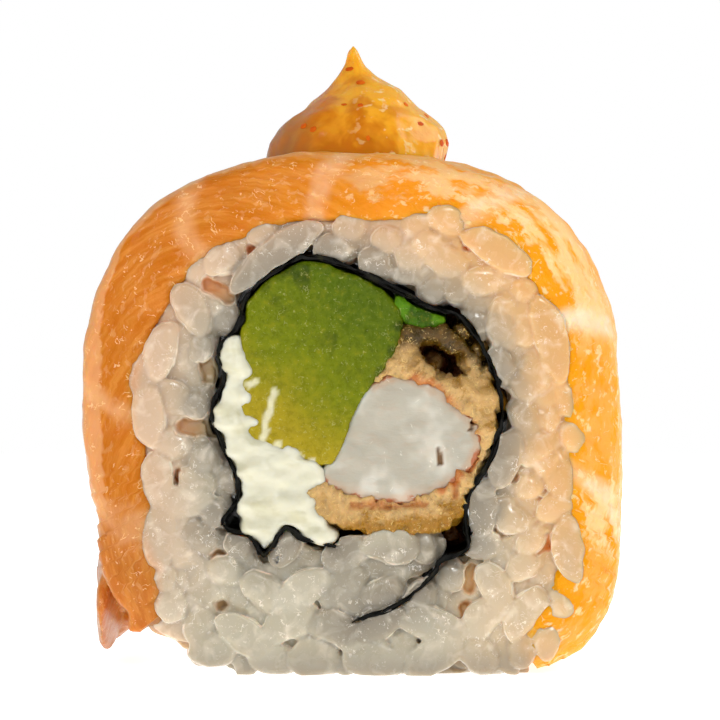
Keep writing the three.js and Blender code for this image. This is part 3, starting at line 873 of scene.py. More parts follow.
def rice_finish(look):
    finish, nodes, shader = new_finish(
        "Cooked rice", Specular_IOR_Level=0.3, Coat_Weight=0.3, Coat_Roughness=0.1,
        **shine_through((1.5, 1.2, 0.9))
    )
    place = nodes.object_place()
    across, deep, up = nodes.parts(place)
    lit = nodes.span(across, *RICE_LIT_ACROSS)
    # Painted light: grains near the salmon take its colour as if lit through it, most on the lit side and
    # right at its edge.
    by_salmon = nodes.span(nodes.number("near_salmon"), nodes.span(lit, 0, 1, 0.2, -0.1), 0.9)
    tinted = nodes.times(by_salmon, nodes.span(lit, 0, 1, 0.6, 1.0))
    tinted = nodes.times(tinted, nodes.span(up, *TINT_HEIGHTS, 0.3, 1.0))
    tint = nodes.mix(tinted, look.grain, nodes.mix(lit, look.peach, look.warm))
    touching = nodes.span(nodes.number("near_salmon"), 0.89, 1.0, 0, 0.5)
    tint = nodes.mix(touching, tint, nodes.mix(lit, look.warm_gap, look.warm))
    # Painted shade: grey in front of the nori.
    tint = nodes.mix(nodes.times(nodes.number("near_nori"), 0.8), tint, look.grey)
    tone = nodes.span(nodes.number("tone"), 0, 1, 0.0, 0.4)
    tint = nodes.mix(tone, tint, nodes.mix(1.0, tint, look.shadow, "MULTIPLY"))
    milky = nodes.grain(place, 1.6 * MM, 3, distortion=0.6)
    # Painted light: steep sides of the grains get bright rims; the milky places are the rice's own.
    rim = nodes.times(nodes.span(nodes.number("rim"), 0.3, 0.7), nodes.span(milky, 0.3, 0.65, 0.4, 0.9))
    tint = nodes.mix(nodes.math("MAXIMUM", rim, nodes.span(milky, 0.5, 0.8, 0, 0.4)), tint, look.rim)
    # Painted shade and light: deep places in the gaps are painted darker, glowing in the salmon's colour near
    # it.
    depth = nodes.math("MINIMUM", nodes.math("SUBTRACT", BACK, nodes.math("ABSOLUTE", deep)), up)
    in_gap = nodes.span(nodes.number("gap"), 0.1, 0.7, 0.35, 1)
    sunk = nodes.times(nodes.span(depth, *SUNK_DEPTHS), in_gap)
    glow = nodes.mix(lit, look.warm_gap, look.bright_gap)
    tint = nodes.mix(sunk, tint, nodes.mix(by_salmon, look.gap, glow))
    # Painted highlights: dots and short strokes for glints, gathered in patches and fewer in the gaps.
    dots = nodes.span(nodes.grain(place, 0.2 * MM, 2), 0.64, 0.74, 0, 0.7)
    glints = nodes.math("MAXIMUM", dots, nodes.strokes(place, 0.45 * MM, 0.04, 0.56))
    gathered = nodes.span(nodes.grain(place, 3 * MM, 2), 0.42, 0.58, 0.15, 0.55)
    glints = nodes.times(glints, gathered)
    tint = nodes.mix(nodes.times(glints, nodes.span(sunk, 0.2, 0.6, 1, 0.1)), tint, look.glint)
    # Painted shade: the foot of the ring is painted grey, for the shade near the table.
    tint = nodes.mix(nodes.span(up, *FOOT_SHADE_HEIGHTS, 0.6, 0), tint, look.grey)
    nodes.feed(shader.inputs["Base Color"], tint)

    fine = nodes.grain(place, 0.3 * MM, 3, 0.65)
    sparkling = nodes.span(nodes.grain(place, 2.6 * MM, 2), 0.46, 0.6, 0.1, 1.0)
    nodes.feed(shader.inputs["Roughness"], nodes.span(milky, 0.3, 0.7, 0.16, 0.36))
    soft = nodes.bump(milky, 0.25, 0.2 * MM)
    nodes.feed(shader.inputs["Normal"], soft)
    nodes.feed(shader.inputs["Coat Normal"], nodes.bump(fine, sparkling, 0.2 * MM, soft))
    return finish


def depth_in_rice(beads):
    """How far beads lie behind the front, the back and the foot of the ring, in millimetres."""
    return np.stack([beads[:, 1] - FRONT / MM, BACK / MM - beads[:, 1], beads[:, 2]], axis=1)


def is_inside(surface, place):
    """Whether a place lies inside a closed surface: a ray from there crosses it an odd number of times."""
    inside = False
    spot = surface.ray_cast(place, RAY)[0]
    while spot is not None:
        inside = not inside
        spot = surface.ray_cast(spot + RAY * RAY_STEP, RAY)[0]
    return inside


def sunk_in_ring(bead, surface):
    """How far a bead lies inside the ring, in millimetres, and the shortest way out of it."""
    place = Vector(bead) * MM
    spot, _, _, distance = surface.find_nearest(place)
    sunk = distance if is_inside(surface, place) else -distance
    return sunk / MM, np.array((spot - place) / sunk) if sunk else np.zeros(3)


def keep_in_ring(beads, surface, radius, setback, shell):
    """Brings beads back inside the ring, and into the layer behind its visible faces."""
    for bead in beads:
        sunk, outward = sunk_in_ring(bead, surface)
        if sunk < radius:
            bead -= outward * (radius - sunk)
    beads[:, 1] = np.maximum(beads[:, 1], FRONT / MM + radius + setback)
    beads[:, 2] = np.maximum(beads[:, 2], radius)
    depths = depth_in_rice(beads)
    nearest = depths.argmin(axis=1)
    excess = np.maximum(depths.min(axis=1) - shell, 0)
    beads[nearest == 0, 1] -= excess[nearest == 0]
    beads[nearest == 1, 1] += excess[nearest == 1]
    beads[nearest == 2, 2] -= excess[nearest == 2]
    return beads


def front_grains(look):
    """Places, directions and sizes of the grains that show in the front cut, in millimetres."""
    width = look.grain_width / MM
    whole = look.grain_length / MM
    centres, lie, sizes = [], [], []
    for across, down, seen, turn in FRONT_GRAINS:
        x, z = in_cut(across, down)
        level = min(max((seen * PIXEL - width) / (whole - width), 0.0), 1.0)
        dip = math.sqrt(1 - level ** 2)
        behind = look.layering * min(max((LONG_SEEN - seen) / (LONG_SEEN - SHORT_SEEN), 0.0), 1.0)
        y = FRONT / MM + width / 2 + (behind - look.proud) / MM + dip * (whole - width) / 2
        way = math.radians(turn)
        centres.append((x, y, z))
        lie.append((level * math.cos(way), dip, level * math.sin(way)))
        sizes.append((look.broadness, look.broadness, max(seen * PIXEL / whole, 1.0)))
    return np.array(centres), np.array(lie), np.array(sizes)


def loose_grains(look, surface, random):
    """Random places, directions and sizes for the other grains, in millimetres, before they are packed."""
    low, high = (np.array(corner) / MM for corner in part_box("rice_ring"))
    centres = []
    while len(centres) < look.grains:
        spot = random.uniform(low, high)
        if is_inside(surface, Vector(spot) * MM) and depth_in_rice(spot[None]).min() < look.shell / MM:
            centres.append(spot)
    turns = random.uniform(0, math.pi, look.grains)
    rise = random.normal(0, RISE_SPREAD, look.grains)
    end_on = random.random(look.grains) < END_ON
    rise[end_on] = random.normal(*END_ON_RISE, end_on.sum())
    lie = np.stack([np.cos(turns) * np.cos(rise), np.sin(rise), np.sin(turns) * np.cos(rise)], axis=1)
    sizes = random.uniform(LEAST_SIZE, MOST_SIZE, (look.grains, 3))
    return np.array(centres), lie, sizes


def beads_along(centres, lie, reaches, steps):
    """Beads in a row along each grain."""
    ways = lie[:, None] * np.reshape(reaches, (-1, 1, 1))
    return (centres[:, None] + ways * steps[:, None]).reshape(-1, 3)


def gap_beads():
    """Beads that keep the gaps of the front cut free."""
    spots = [in_cut(*gap[:2]) for gap in FRONT_GAPS]
    return np.array([(x, FRONT / MM + depth, z) for x, z in spots for depth in GAP_BEAD_DEPTHS])


def pack_grains(look, random):
    """Centres, directions and sizes of grains pressed together in the visible faces of the ring."""
    surface = surface_of("rice_ring")
    shown, shown_lie, shown_sizes = front_grains(look)
    centres, lie, sizes = loose_grains(look, surface, random)
    radius = look.grain_width / MM / 2
    reach = look.grain_length / MM / 2 - radius
    shown_reach = look.grain_length / MM / 2 * shown_sizes[:, 2] - radius
    held = np.concatenate([beads_along(shown, shown_lie, shown_reach, HELD_BEADS), gap_beads()])
    loose = look.grains * len(BEADS)
    owner = np.concatenate([np.repeat(np.arange(look.grains), len(BEADS)), np.full(len(held), -1)])
    for _ in range(PACKING_ROUNDS):
        beads = np.concatenate([beads_along(centres, lie, np.full(look.grains, reach), BEADS), held])
        squares = (beads ** 2).sum(axis=1)
        apart = squares[:, None] + squares[None] - 2 * beads @ beads.T
        first, second = np.nonzero(np.triu(apart < (2 * radius * CROWDING) ** 2, 1))
        others = owner[first] != owner[second]
        first, second = first[others], second[others]
        way = beads[first] - beads[second]
        gap = np.maximum(np.linalg.norm(way, axis=1), 1e-3)
        push = way / gap[:, None] * (PUSHING * (2 * radius * CROWDING - gap))[:, None]
        np.add.at(beads, first, push)
        np.add.at(beads, second, -push)
        rows = keep_in_ring(beads[:loose], surface, radius, look.setback / MM, look.shell / MM - radius)
        rows = rows.reshape(-1, len(BEADS), 3)
        centres = rows.mean(axis=1)
        lie = rows[:, -1] - rows[:, 0]
        lie /= np.linalg.norm(lie, axis=1)[:, None]
    kept = [is_inside(surface, Vector(centre) * MM) for centre in centres]
    centres = np.concatenate([shown, centres[kept]]) * MM
    return centres, np.concatenate([shown_lie, lie[kept]]), np.concatenate([shown_sizes, sizes[kept]])


def grain_tree():
    """Geometry Nodes that put one bent, uneven grain on every point."""
    tree, nodes, given, sockets = new_tree("Rice grains", {
        "Grain length": "Float", "Grain width": "Float", "Bend": "Float",
        "Unevenness": "Float", "Lump size": "Float", "Material": "Material",
    })
    ball = nodes.add("GeometryNodeMeshUVSphere", {"Segments": 14, "Rings": 10, "Radius": 0.5}).outputs["Mesh"]
    place = nodes.add("GeometryNodeInputPosition").outputs[0]
    across, deep, up = nodes.parts(place)
    bent = nodes.times(nodes.times(up, up), given["Bend"])
    bow = nodes.joined(nodes.plus(across, bent), deep, up)
    shape = nodes.joined(given["Grain width"], given["Grain width"], given["Grain length"])
    sized = nodes.add("ShaderNodeVectorMath", {0: bow, 1: shape}, operation="MULTIPLY").outputs[0]
    grain = nodes.add("GeometryNodeSetPosition", {"Geometry": ball, "Position": sized}).outputs[0]
    lie = nodes.add("GeometryNodeInputNamedAttribute", {"Name": "lie"}, data_type="FLOAT_VECTOR").outputs[0]
    size = nodes.add("GeometryNodeInputNamedAttribute", {"Name": "size"}, data_type="FLOAT_VECTOR").outputs[0]
    turn = nodes.add("FunctionNodeAlignRotationToVector", {"Vector": lie}, axis="Z").outputs[0]
    laid = {"Points": given["Geometry"], "Instance": grain, "Rotation": turn, "Scale": size}
    laid = nodes.add("GeometryNodeInstanceOnPoints", laid).outputs[0]
    real = nodes.add("GeometryNodeRealizeInstances", {"Geometry": laid}).outputs[0]
    lumps = nodes.add("ShaderNodeTexNoise", {"Vector": place, "Detail": 1.0})
    nodes.feed(lumps.inputs["Scale"], nodes.math("DIVIDE", 1.0, given["Lump size"]))
    height = nodes.times(nodes.math("SUBTRACT", lumps.outputs["Fac"], 0.5), given["Unevenness"])
    normal = nodes.add("GeometryNodeInputNormal").outputs[0]
    offset = nodes.add("ShaderNodeVectorMath", {0: normal, "Scale": height}, operation="SCALE").outputs[0]
    uneven = nodes.add("GeometryNodeSetPosition", {"Geometry": real, "Offset": offset}).outputs[0]
    finish_tree(nodes, uneven, given["Material"])
    return tree, sockets


def rice_core(look):
    """The ring, cut back behind the grains at its visible faces."""
    core = copy_of("rice_ring", "rice_core")
    skin_over(core, look.core_step)
    places = places_of(core.data)
    cut_back = look.core_depth * (1 + look.core_lumps * bumps(places, look.core_lump_size, 2))
    places[:, 1] = np.clip(places[:, 1], FRONT + cut_back, BACK - cut_back)
    places[:, 2] = np.maximum(places[:, 2], cut_back)
    move_to(core.data, places)
    return core


def join_into(piece, other):
    """Adds another piece's mesh to a piece, and removes the other."""
    with editing(piece.data) as edit:
        edit.from_mesh(other.data)
    bpy.data.objects.remove(other)


def press_level(mesh, look, grains):
    """Flattens every grain towards the nearer cut, and keeps everything above the table."""
    places = places_of(mesh)
    rows = places[:, 1].reshape(grains, -1)
    for side in (-1, 1):
        near = rows.mean(axis=1, keepdims=True) * side > 0
        top = (rows * side).max(axis=1, keepdims=True)
        depth = top - rows * side
        pressed = depth - np.minimum(depth, look.cut_depth) * (1 - look.pressed)
        rows = np.where(near, (top - pressed) * side, rows)
    places[:, 1] = np.clip(rows.ravel(), FRONT - look.proud, BACK + look.proud)
    pressed_foot = look.foot_press * np.clip(1 - places[:, 2] / look.foot_height, 0, 1)
    places[:, 2] = np.maximum(places[:, 2] - pressed_foot, 0)
    move_to(mesh, places)


def carve_gaps(mesh, look):
    """Sinks what lies low in the gaps of the front cut."""
    places = places_of(mesh)
    sunk = places[:, 1] - FRONT + look.proud
    between = np.clip(sunk / look.layering - GAP_TOP, 0, 1)
    between *= np.clip((GAP_END - sunk) / (GAP_END - GAP_FLOOR), 0, 1)
    places[:, 1] += look.gap_depth * in_marks(places, FRONT_GAPS, look.gap_width) * between
    move_to(mesh, places)


def hold_back(mesh, look):
    """Keeps the grains from pushing through the nori."""
    ring = surface_of("rice_ring")
    sheet = surface_of("nori_sheet")
    places = places_of(mesh)
    overlaps = look.overlap * (1 + OVERLAP_VARIATION * bumps(places * (1, 0, 1), OVERLAP_SIZE, 2))
    for place, overlap in zip(places, overlaps):
        spot = Vector((place[0], min(max(place[1], FRONT + MM), BACK - MM), place[2]))
        if sheet.find_nearest(spot, NORI_REACH)[0] and not is_inside(ring, spot):
            wall = ring.find_nearest(spot)[0]
            past = spot - wall
            past.length = min(past.length, overlap)
            place[0], place[2] = (wall + past).xz
    move_to(mesh, places)


def drop_hollows(mesh):
    """Keeps the largest of the mesh's separate surfaces: the others close off hollows inside it."""
    ends = np.empty(len(mesh.edges) * 2, np.int32)
    mesh.edges.foreach_get("vertices", ends)
    first, second = ends.reshape(-1, 2).T
    labels = np.arange(len(mesh.vertices))
    settled = False
    while not settled:
        lowest = labels.copy()
        np.minimum.at(lowest, first, labels[second])
        np.minimum.at(lowest, second, labels[first])
        lowest = lowest[lowest]
        settled = np.array_equal(lowest, labels)
        labels = lowest
    largest = np.bincount(labels).argmax()
    with editing(mesh) as edit:
        inner = [vertex for vertex, label in zip(edit.verts, labels) if label != largest]
        bmesh.ops.delete(edit, geom=inner, context="VERTS")


def thin_out(piece, triangles):
    """Leaves about this many triangles, most of them where the surface bends."""
    thin = piece.modifiers.new("Thin", "DECIMATE")
    thin.ratio = min(triangles / (2 * len(piece.data.polygons)), 1.0)
    make_plain(piece)


def mark_grains(mesh, look, centres, lie, sizes, random):
    """Keeps on the mesh what its finish reads: tone, the steep sides that get painted bright rims, and how
    near nori and salmon are.
    """
    places = places_of(mesh)
    beads = beads_along(centres, lie, (look.grain_length * sizes[:, 2] - look.grain_width) / 2, HELD_BEADS)
    tree = KDTree(len(beads))
    for number, bead in enumerate(beads):
        tree.insert(bead, number // len(HELD_BEADS))
    tree.balance()
    owner = np.array([tree.find(place)[1] for place in places])
    # Painted shade near the nori: how grey each place is painted.
    by_nori = nearness(beads, "nori_sheet", 2 * look.grain_width).reshape(-1, len(HELD_BEADS)).max(axis=1)
    grain_grey = np.clip(by_nori * GREY_SLOPE - GREY_START, 0, 1)[owner]
    keep_numbers(mesh, "tone", random.random(len(centres))[owner])
    keep_numbers(mesh, "rim", 1 - np.abs(facing_of(mesh)[:, 1]))
    by_nori = PLACE_GREY * nearness(places, "nori_sheet", look.grey_reach) + GRAIN_GREY * grain_grey
    marked = PLACE_GREY * in_marks(places, GREY_RICE, look.grey_width)
    keep_numbers(mesh, "near_nori", np.maximum(by_nori, marked))
    keep_numbers(mesh, "near_salmon", nearness(places, "salmon_slice", look.tint_reach))
    keep_numbers(mesh, "gap", in_marks(places, FRONT_GAPS, look.gap_width))


def make_rice(look):
    random = np.random.default_rng(look.seed)
    centres, lie, sizes = pack_grains(look, random)
    points = bpy.data.meshes.new("rice_grains")
    points.from_pydata(centres.tolist(), [], [])
    keep_vectors(points, "lie", lie)
    keep_vectors(points, "size", sizes)
    rice = new_piece("rice_grains", points)
    finish = rice_finish(look)
    grow(rice, *grain_tree(), {
        "Grain length": look.grain_length, "Grain width": look.grain_width, "Bend": look.bend,
        "Unevenness": look.unevenness, "Lump size": look.lump_size, "Material": finish,
    })
    press_level(rice.data, look, len(centres))
    join_into(rice, rice_core(look))
    skin_over(rice, look.step, smoothing=2)
    drop_hollows(rice.data)
    hold_back(rice.data, look)
    carve_gaps(rice.data, look)
    thin_out(rice, look.triangles)
    mark_grains(rice.data, look, centres, lie, sizes, random)
    hand_over(rice, finish, "rice", "rice_ring")


# Nori

TAIL_TOP = 15 * MM  # the sheet below this height is the tail that runs into the rice
TAIL_BLEND = 3 * MM  # and it is wholly the tail this much lower
EVEN_PROUD = 0.6  # the even share of how far it stands out; the tatters add to it or take from it
MOST_THINNING = 0.1  # the thin places are thinned by at most this share more
OTHER_CREASES = 0.1  # metres to a place where the creases are quite different


def nori_finish(look):
    finish, nodes, shader = new_finish("Damp nori", Specular_IOR_Level=0.15)
    place = nodes.object_place()
    patches = nodes.grain(place, 1.2 * MM, 4, 0.65)
    nodes.feed(shader.inputs["Base Color"], nodes.mix(nodes.span(patches, 0.52, 0.8), look.sheet, look.glint))
    nodes.feed(shader.inputs["Roughness"], nodes.span(patches, 0.3, 0.7, 0.28, 0.55))
    fine = nodes.grain(place, 0.3 * MM, 3, 0.6)
    nodes.feed(shader.inputs["Normal"], nodes.bump(fine, 0.7, 0.15 * MM))
    return finish


def make_nori(look):
    nori = copy_of("nori_sheet", "nori")
    with editing(nori.data) as edit:
        bmesh.ops.subdivide_edges(edit, edges=edit.edges, cuts=2, use_grid_fill=True)
    places = places_of(nori.data)
    tail = np.clip((TAIL_TOP - places[:, 2]) / TAIL_BLEND, 0, 1)
    uneven = 1 + np.clip(bumps(places * (1, 0, 1), look.uneven_size, 2), -1, MOST_THINNING)
    push_out(nori.data, -look.thinning * uneven - look.tail_thinning * tail)
    places = places_of(nori.data)
    half_depth = (BACK - FRONT) / 2
    ragged = bumps(places * (1, 0, 1), look.ragged_size, 2)
    places[:, 1] *= 1 + look.proud / half_depth * (EVEN_PROUD + ragged + look.tail_proud * tail)
    places[:, 0] += bumps(places, look.crease_size, 3) * look.crumple
    places[:, 2] += bumps(places + OTHER_CREASES, look.crease_size, 3) * look.crumple
    move_to(nori.data, places)
    nori.data.shade_smooth()
    hand_over(nori, nori_finish(look), "nori", "nori_sheet")


# Avocado

SLOPE = 0.75  # the flesh turns from yellow to green upwards, and by this share as fast to the right
YELLOW_TO_MIDDLE = (20 * MM, 30 * MM)  # where it does so, along that slope
MIDDLE_TO_GREEN = (28 * MM, 40 * MM)
BRUISED = (29 * MM, 37 * MM)  # where the bruises set in
# Smears of cheese on the cut, as marks in the front cut.
AVOCADO_SMEARS = (
    (270, 410, 44, 74), (253, 384, 14, 30), (264, 436, 18, 62), (277, 446, 14, 40), (298, 455, 16, -10),
    (313, 463, 14, 30),
)


def avocado_finish(look, name, green):
    finish, nodes, shader = new_finish(
        name, Specular_IOR_Level=0.12, **shine_through((0.8, 0.7, 0.2), 0.4)
    )
    place = nodes.object_place()
    across, _, up = nodes.parts(place)
    slope = nodes.plus(nodes.times(across, SLOPE), up)
    wavy = nodes.plus(slope, nodes.times(nodes.grain(place, 4 * MM, 3), 5 * MM))
    tint = nodes.mix(nodes.span(wavy, *YELLOW_TO_MIDDLE), look.yellow, look.middle)
    tint = nodes.mix(nodes.span(wavy, *MIDDLE_TO_GREEN), tint, green)
    bruises = nodes.grain(place, 2.2 * MM, 3)
    dark = nodes.times(nodes.span(bruises, 0.5, 0.66), nodes.span(wavy, *BRUISED, 0, 0.7))
    tint = nodes.mix(dark, tint, look.bruise)
    mottle = nodes.grain(place, 0.8 * MM, 4, 0.7)
    tint = nodes.mix(nodes.span(mottle, 0.3, 0.6, 0.25, 0), tint, look.bruise)
    tint = nodes.mix(nodes.span(mottle, 0.5, 0.75, 0, 0.3), tint, look.yellow)
    # Painted highlights: pale strokes and dots for glints.
    painted_glint_strokes = nodes.strokes(place, 0.45 * MM, 0.035, 0.58)
    dots = nodes.span(nodes.grain(place, 0.22 * MM, 2), 0.66, 0.74)
    tint = nodes.mix(nodes.times(nodes.math("MAXIMUM", painted_glint_strokes, dots), 0.3), tint, look.glint)
    tint = nodes.mix(nodes.times(nodes.number("smear"), 0.8), tint, look.smear)
    nodes.feed(shader.inputs["Base Color"], tint)
    nodes.feed(shader.inputs["Roughness"], nodes.span(mottle, 0.3, 0.7, 0.2, 0.45))
    dents = nodes.grain(place, 1.5 * MM, 3)
    nodes.feed(shader.inputs["Normal"], nodes.bump(mottle, 0.6, 0.3 * MM, nodes.bump(dents, 0.5, 0.4 * MM)))
    return finish


def make_avocado(look):
    finishes = {
        "avocado_wedge": avocado_finish(look, "Ripe avocado", look.green),
        "avocado_sliver": avocado_finish(look, "Green avocado", look.bright_green),
    }
    for node, finish in finishes.items():
        piece = copy_of(node, node.replace("avocado", "green"))
        skin_over(piece, look.step, smoothing=1)
        places = places_of(piece.data)
        dents = look.dent_height * bumps(places, look.dent_size, 3)
        grit = look.grit_height * bumps(places, look.grit_size, 2)
        push_out(piece.data, look.inflate + dents + grit)
        keep_numbers(piece.data, "smear", in_marks(places, AVOCADO_SMEARS, look.smear_width))
        move_to(piece.data, narrowed(places_of(piece.data)))
        hand_over(piece, finish, "avocado", node)


# Cream cheese

# Smears on the avocado's edge: across, up, length and width in millimetres, and the turn in degrees.
SMEARS = (
    (-10.3, 28.4, 8.0, 1.7, 97), (-10.2, 26.4, 6.0, 2.0, 92), (-9.9, 24.6, 6.4, 2.2, 102),
    (-8.2, 22.2, 4.4, 1.9, -30), (-5.4, 21.2, 3.6, 1.3, -24), (-3.0, 20.0, 2.8, 1.1, -30),
    (-3.0, 18.4, 4.0, 1.4, -40),
)
SMEAR_DEPTH = 2.0  # millimetres
RIDGE_STRETCH = (1.3, 1.6, 0.7)  # how long the smeared ridges are in each direction, beside their size


def cream_finish(look):
    finish, nodes, shader = new_finish(
        "Cream cheese", Roughness=0.3, IOR=1.45, **shine_through((1.2, 1.1, 0.9))
    )
    place = nodes.object_place()
    # Painted shade: darker streaks on the cheese.
    smears = nodes.grain(nodes.stretched(place, (2.6 * MM, 4 * MM, 1.4 * MM)), detail=3)
    nodes.feed(shader.inputs["Base Color"], nodes.mix(nodes.span(smears, 0.46, 0.7), look.cheese, look.shade))
    fine = nodes.grain(place, 0.6 * MM, 3)
    nodes.feed(shader.inputs["Normal"], nodes.bump(fine, 0.25, 0.2 * MM))
    return finish


def add_smears(piece, look):
    """Adds the smears along the avocado's edge to the cheese."""
    deep = FRONT + SMEAR_DEPTH / 2 * MM - look.smear_proud
    with editing(piece.data) as edit:
        for across, up, long, wide, turn in SMEARS:
            size = Matrix.Diagonal((long * MM, SMEAR_DEPTH * MM, wide * MM, 1))
            turned = Matrix.Rotation(-math.radians(turn), 4, "Y")
            add_ball(edit, Matrix.Translation((across * MM, deep, up * MM)) @ turned @ size)


def make_cream(look):
    cream = copy_of("cream_cheese", "cream")
    skin_over(cream, look.step)
    push_out(cream.data, look.inflate)
    add_smears(cream, look)
    skin_over(cream, look.step, smoothing=1)
    places = places_of(cream.data)
    push_out(cream.data, bumps(places, look.smear_size, 2, RIDGE_STRETCH) * look.smear_height)
    move_to(cream.data, narrowed(places_of(cream.data)))
    hand_over(cream, cream_finish(look), "cream_cheese", "cream_cheese")


# Prawn

PRAWN_SLITS = ((474, 425, 12, 70), (443, 457, 18, 95))  # as marks in the front cut


def prawn_finish(look):
    finish, nodes, shader = new_finish(
        "Cooked prawn", Roughness=0.28, IOR=1.45, **shine_through((1.5, 1.1, 0.9))
    )
    place = nodes.object_place()
    wobble = nodes.span(nodes.grain(place, 1.4 * MM, 3), 0, 1, -0.2, 0.2)
    near = nodes.plus(nodes.number("near_batter"), wobble)
    strands = nodes.grain(nodes.stretched(place, (1.6 * MM, 6 * MM, 0.5 * MM)), detail=4, distortion=0.8)
    tint = nodes.mix(nodes.span(strands, 0.45, 0.75, 0, 0.15), look.flesh, look.blush)
    soft = nodes.grain(place, 3 * MM, 2)
    tint = nodes.mix(nodes.span(soft, 0.45, 0.7, 0, 0.45), tint, look.pale)
    tint = nodes.mix(nodes.span(near, 0.35, 0.7, 0, 0.4), tint, look.blush)
    tint = nodes.mix(nodes.span(near, 0.7, 0.8, 0, 0.85), tint, look.skin)
    # Painted shade in the slits.
    tint = nodes.mix(nodes.number("slit"), tint, look.slit)
    # Painted highlights: short pale lines for glints of light on the wet flesh.
    wet = nodes.times(nodes.strokes(place, 0.6 * MM, 0.035, 0.63), 0.5)
    tint = nodes.mix(wet, tint, look.pale)
    nodes.feed(shader.inputs["Base Color"], tint)
    fine = nodes.grain(place, 0.4 * MM, 3)
    nodes.feed(shader.inputs["Normal"], nodes.bump(strands, 0.15, 0.3 * MM, nodes.bump(fine, 0.2, 0.12 * MM)))
    return finish


def make_prawn(look):
    prawn = copy_of("prawn", "prawn_flesh")
    skin_over(prawn, look.step)
    places = places_of(prawn.data)
    slits = in_marks(places, PRAWN_SLITS, look.slit_width)
    lumps = look.lump_height * bumps(places, look.lump_size, 2)
    push_out(prawn.data, look.inflate + lumps - look.slit_depth * slits)
    keep_numbers(prawn.data, "slit", slits)
    keep_numbers(prawn.data, "near_batter", nearness(places, "prawn_batter", look.skin_reach))
    move_to(prawn.data, narrowed(places_of(prawn.data)))
    hand_over(prawn, prawn_finish(look), "prawn", "prawn")


# Batter

# Lumps of batter between the fillings, which close the gaps there; the deeper ones show dark with the painted
# shade of the hollow: across, up, and behind the front cut, in millimetres.
INNER_LUMPS = (
    (10.3, 34.2, 4), (9.4, 13.4, 3.4), (13.4, 25.5, 6), (-0.6, 13.8, 6), (12.6, 30.5, 6), (8.0, 29.2, 2.2),
    (10.6, 32.5, 0.2), (11.9, 31.0, 0.2), (13.0, 28.6, 0.2), (13.6, 26.0, 0.2),
)
INNER_LUMP_WIDTH = 3.4  # millimetres
# The crevices beside the prawn, as marks in the front cut.
BATTER_CREVICES = ((372, 506, 44, -3), (412, 505, 36, 4), (456, 491, 18, 80), (474, 466, 20, 60))
# Where the prawn's skin shows along the batter, where the batter is darkest
# and where its crumb is pale, as marks in the front cut.
BATTER_SKIN = (
    (428, 380, 26, -18), (458, 406, 56, -48), (479, 437, 20, -85), (473, 456, 34, 67), (452, 483, 35, 37),
)
SCORCHED_ARCH = ((436, 329, 80, -8), (478, 350, 48, -50))
PALE_CRUMB = ((474, 374, 30, -70), (486, 405, 30, -80), (412, 356, 20, 60), (332, 508, 60, -8))
DARK_HEIGHTS = (27 * MM, 34 * MM)  # the batter darkens between these heights
DARK_SLOPE = 0.2  # which fall to the right by this share
HOLLOW_DEPTHS = (12.6 * MM, 9.5 * MM)  # distances from the middle of the slice where the hollow is painted darker, as painted shade


def batter_finish(look):
    finish, nodes, shader = new_finish(
        "Fried batter", Specular_IOR_Level=0.35, **shine_through((1.0, 0.6, 0.2), 0.5)
    )
    place = nodes.object_place()
    across, deep, up = nodes.parts(place)
    mottle = nodes.grain(place, 1.5 * MM, 4, 0.65)
    pores = nodes.grain(place, 0.4 * MM, 3, 0.7)
    near = nodes.plus(nodes.number("near_prawn"), nodes.span(mottle, 0.3, 0.7, -0.3, 0.3))
    tint = nodes.mix(nodes.span(near, 0.2, 0.75), look.crust, look.crumb)
    top = nodes.span(nodes.plus(up, nodes.times(across, DARK_SLOPE)), *DARK_HEIGHTS)
    top = nodes.times(top, nodes.span(near, 0.1, 0.6, 1, 0.15))
    tint = nodes.mix(nodes.times(top, nodes.span(mottle, 0.3, 0.7, 1, 0.5)), tint, look.scorched)
    tint = nodes.mix(nodes.span(pores, 0.5, 0.7, 0, 0.35), tint, look.scorched)
    tint = nodes.mix(nodes.times(nodes.number("pale"), 0.7), tint, look.crumb)
    tint = nodes.mix(nodes.times(nodes.number("arch"), 0.5), tint, look.scorched)
    tint = nodes.mix(nodes.times(nodes.number("skin"), 0.8), tint, look.skin)
    # Painted highlights: dots and short strokes for glints.
    dots = nodes.span(nodes.grain(place, 0.25 * MM, 2), 0.62, 0.72)
    wet = nodes.math("MAXIMUM", nodes.strokes(place, 0.5 * MM, 0.045, 0.57), dots)
    tint = nodes.mix(nodes.times(wet, 0.55), tint, look.glint)
    tint = nodes.mix(nodes.times(nodes.number("crevice"), 0.6), tint, look.skin)
    # Painted shade: batter deep inside the slice is painted dark.
    sunk = nodes.span(nodes.math("ABSOLUTE", deep), *HOLLOW_DEPTHS)
    tint = nodes.mix(nodes.times(sunk, 0.95), tint, look.hollow)
    nodes.feed(shader.inputs["Base Color"], tint)
    nodes.feed(shader.inputs["Roughness"], nodes.span(mottle, 0.3, 0.7, 0.2, 0.5))
    nodes.feed(shader.inputs["Normal"], nodes.bump(pores, 0.6, 0.25 * MM, nodes.bump(mottle, 0.5, 0.5 * MM)))
    return finish


def add_inner_lumps(piece):
    """Adds the lumps between the fillings to the batter."""
    width = INNER_LUMP_WIDTH * MM
    with editing(piece.data) as edit:
        for across, up, behind in INNER_LUMPS:
            size = Matrix.Diagonal((width, BACK - FRONT - 2 * behind * MM, width, 1))
            add_ball(edit, Matrix.Translation((across * MM, 0, up * MM)) @ size)


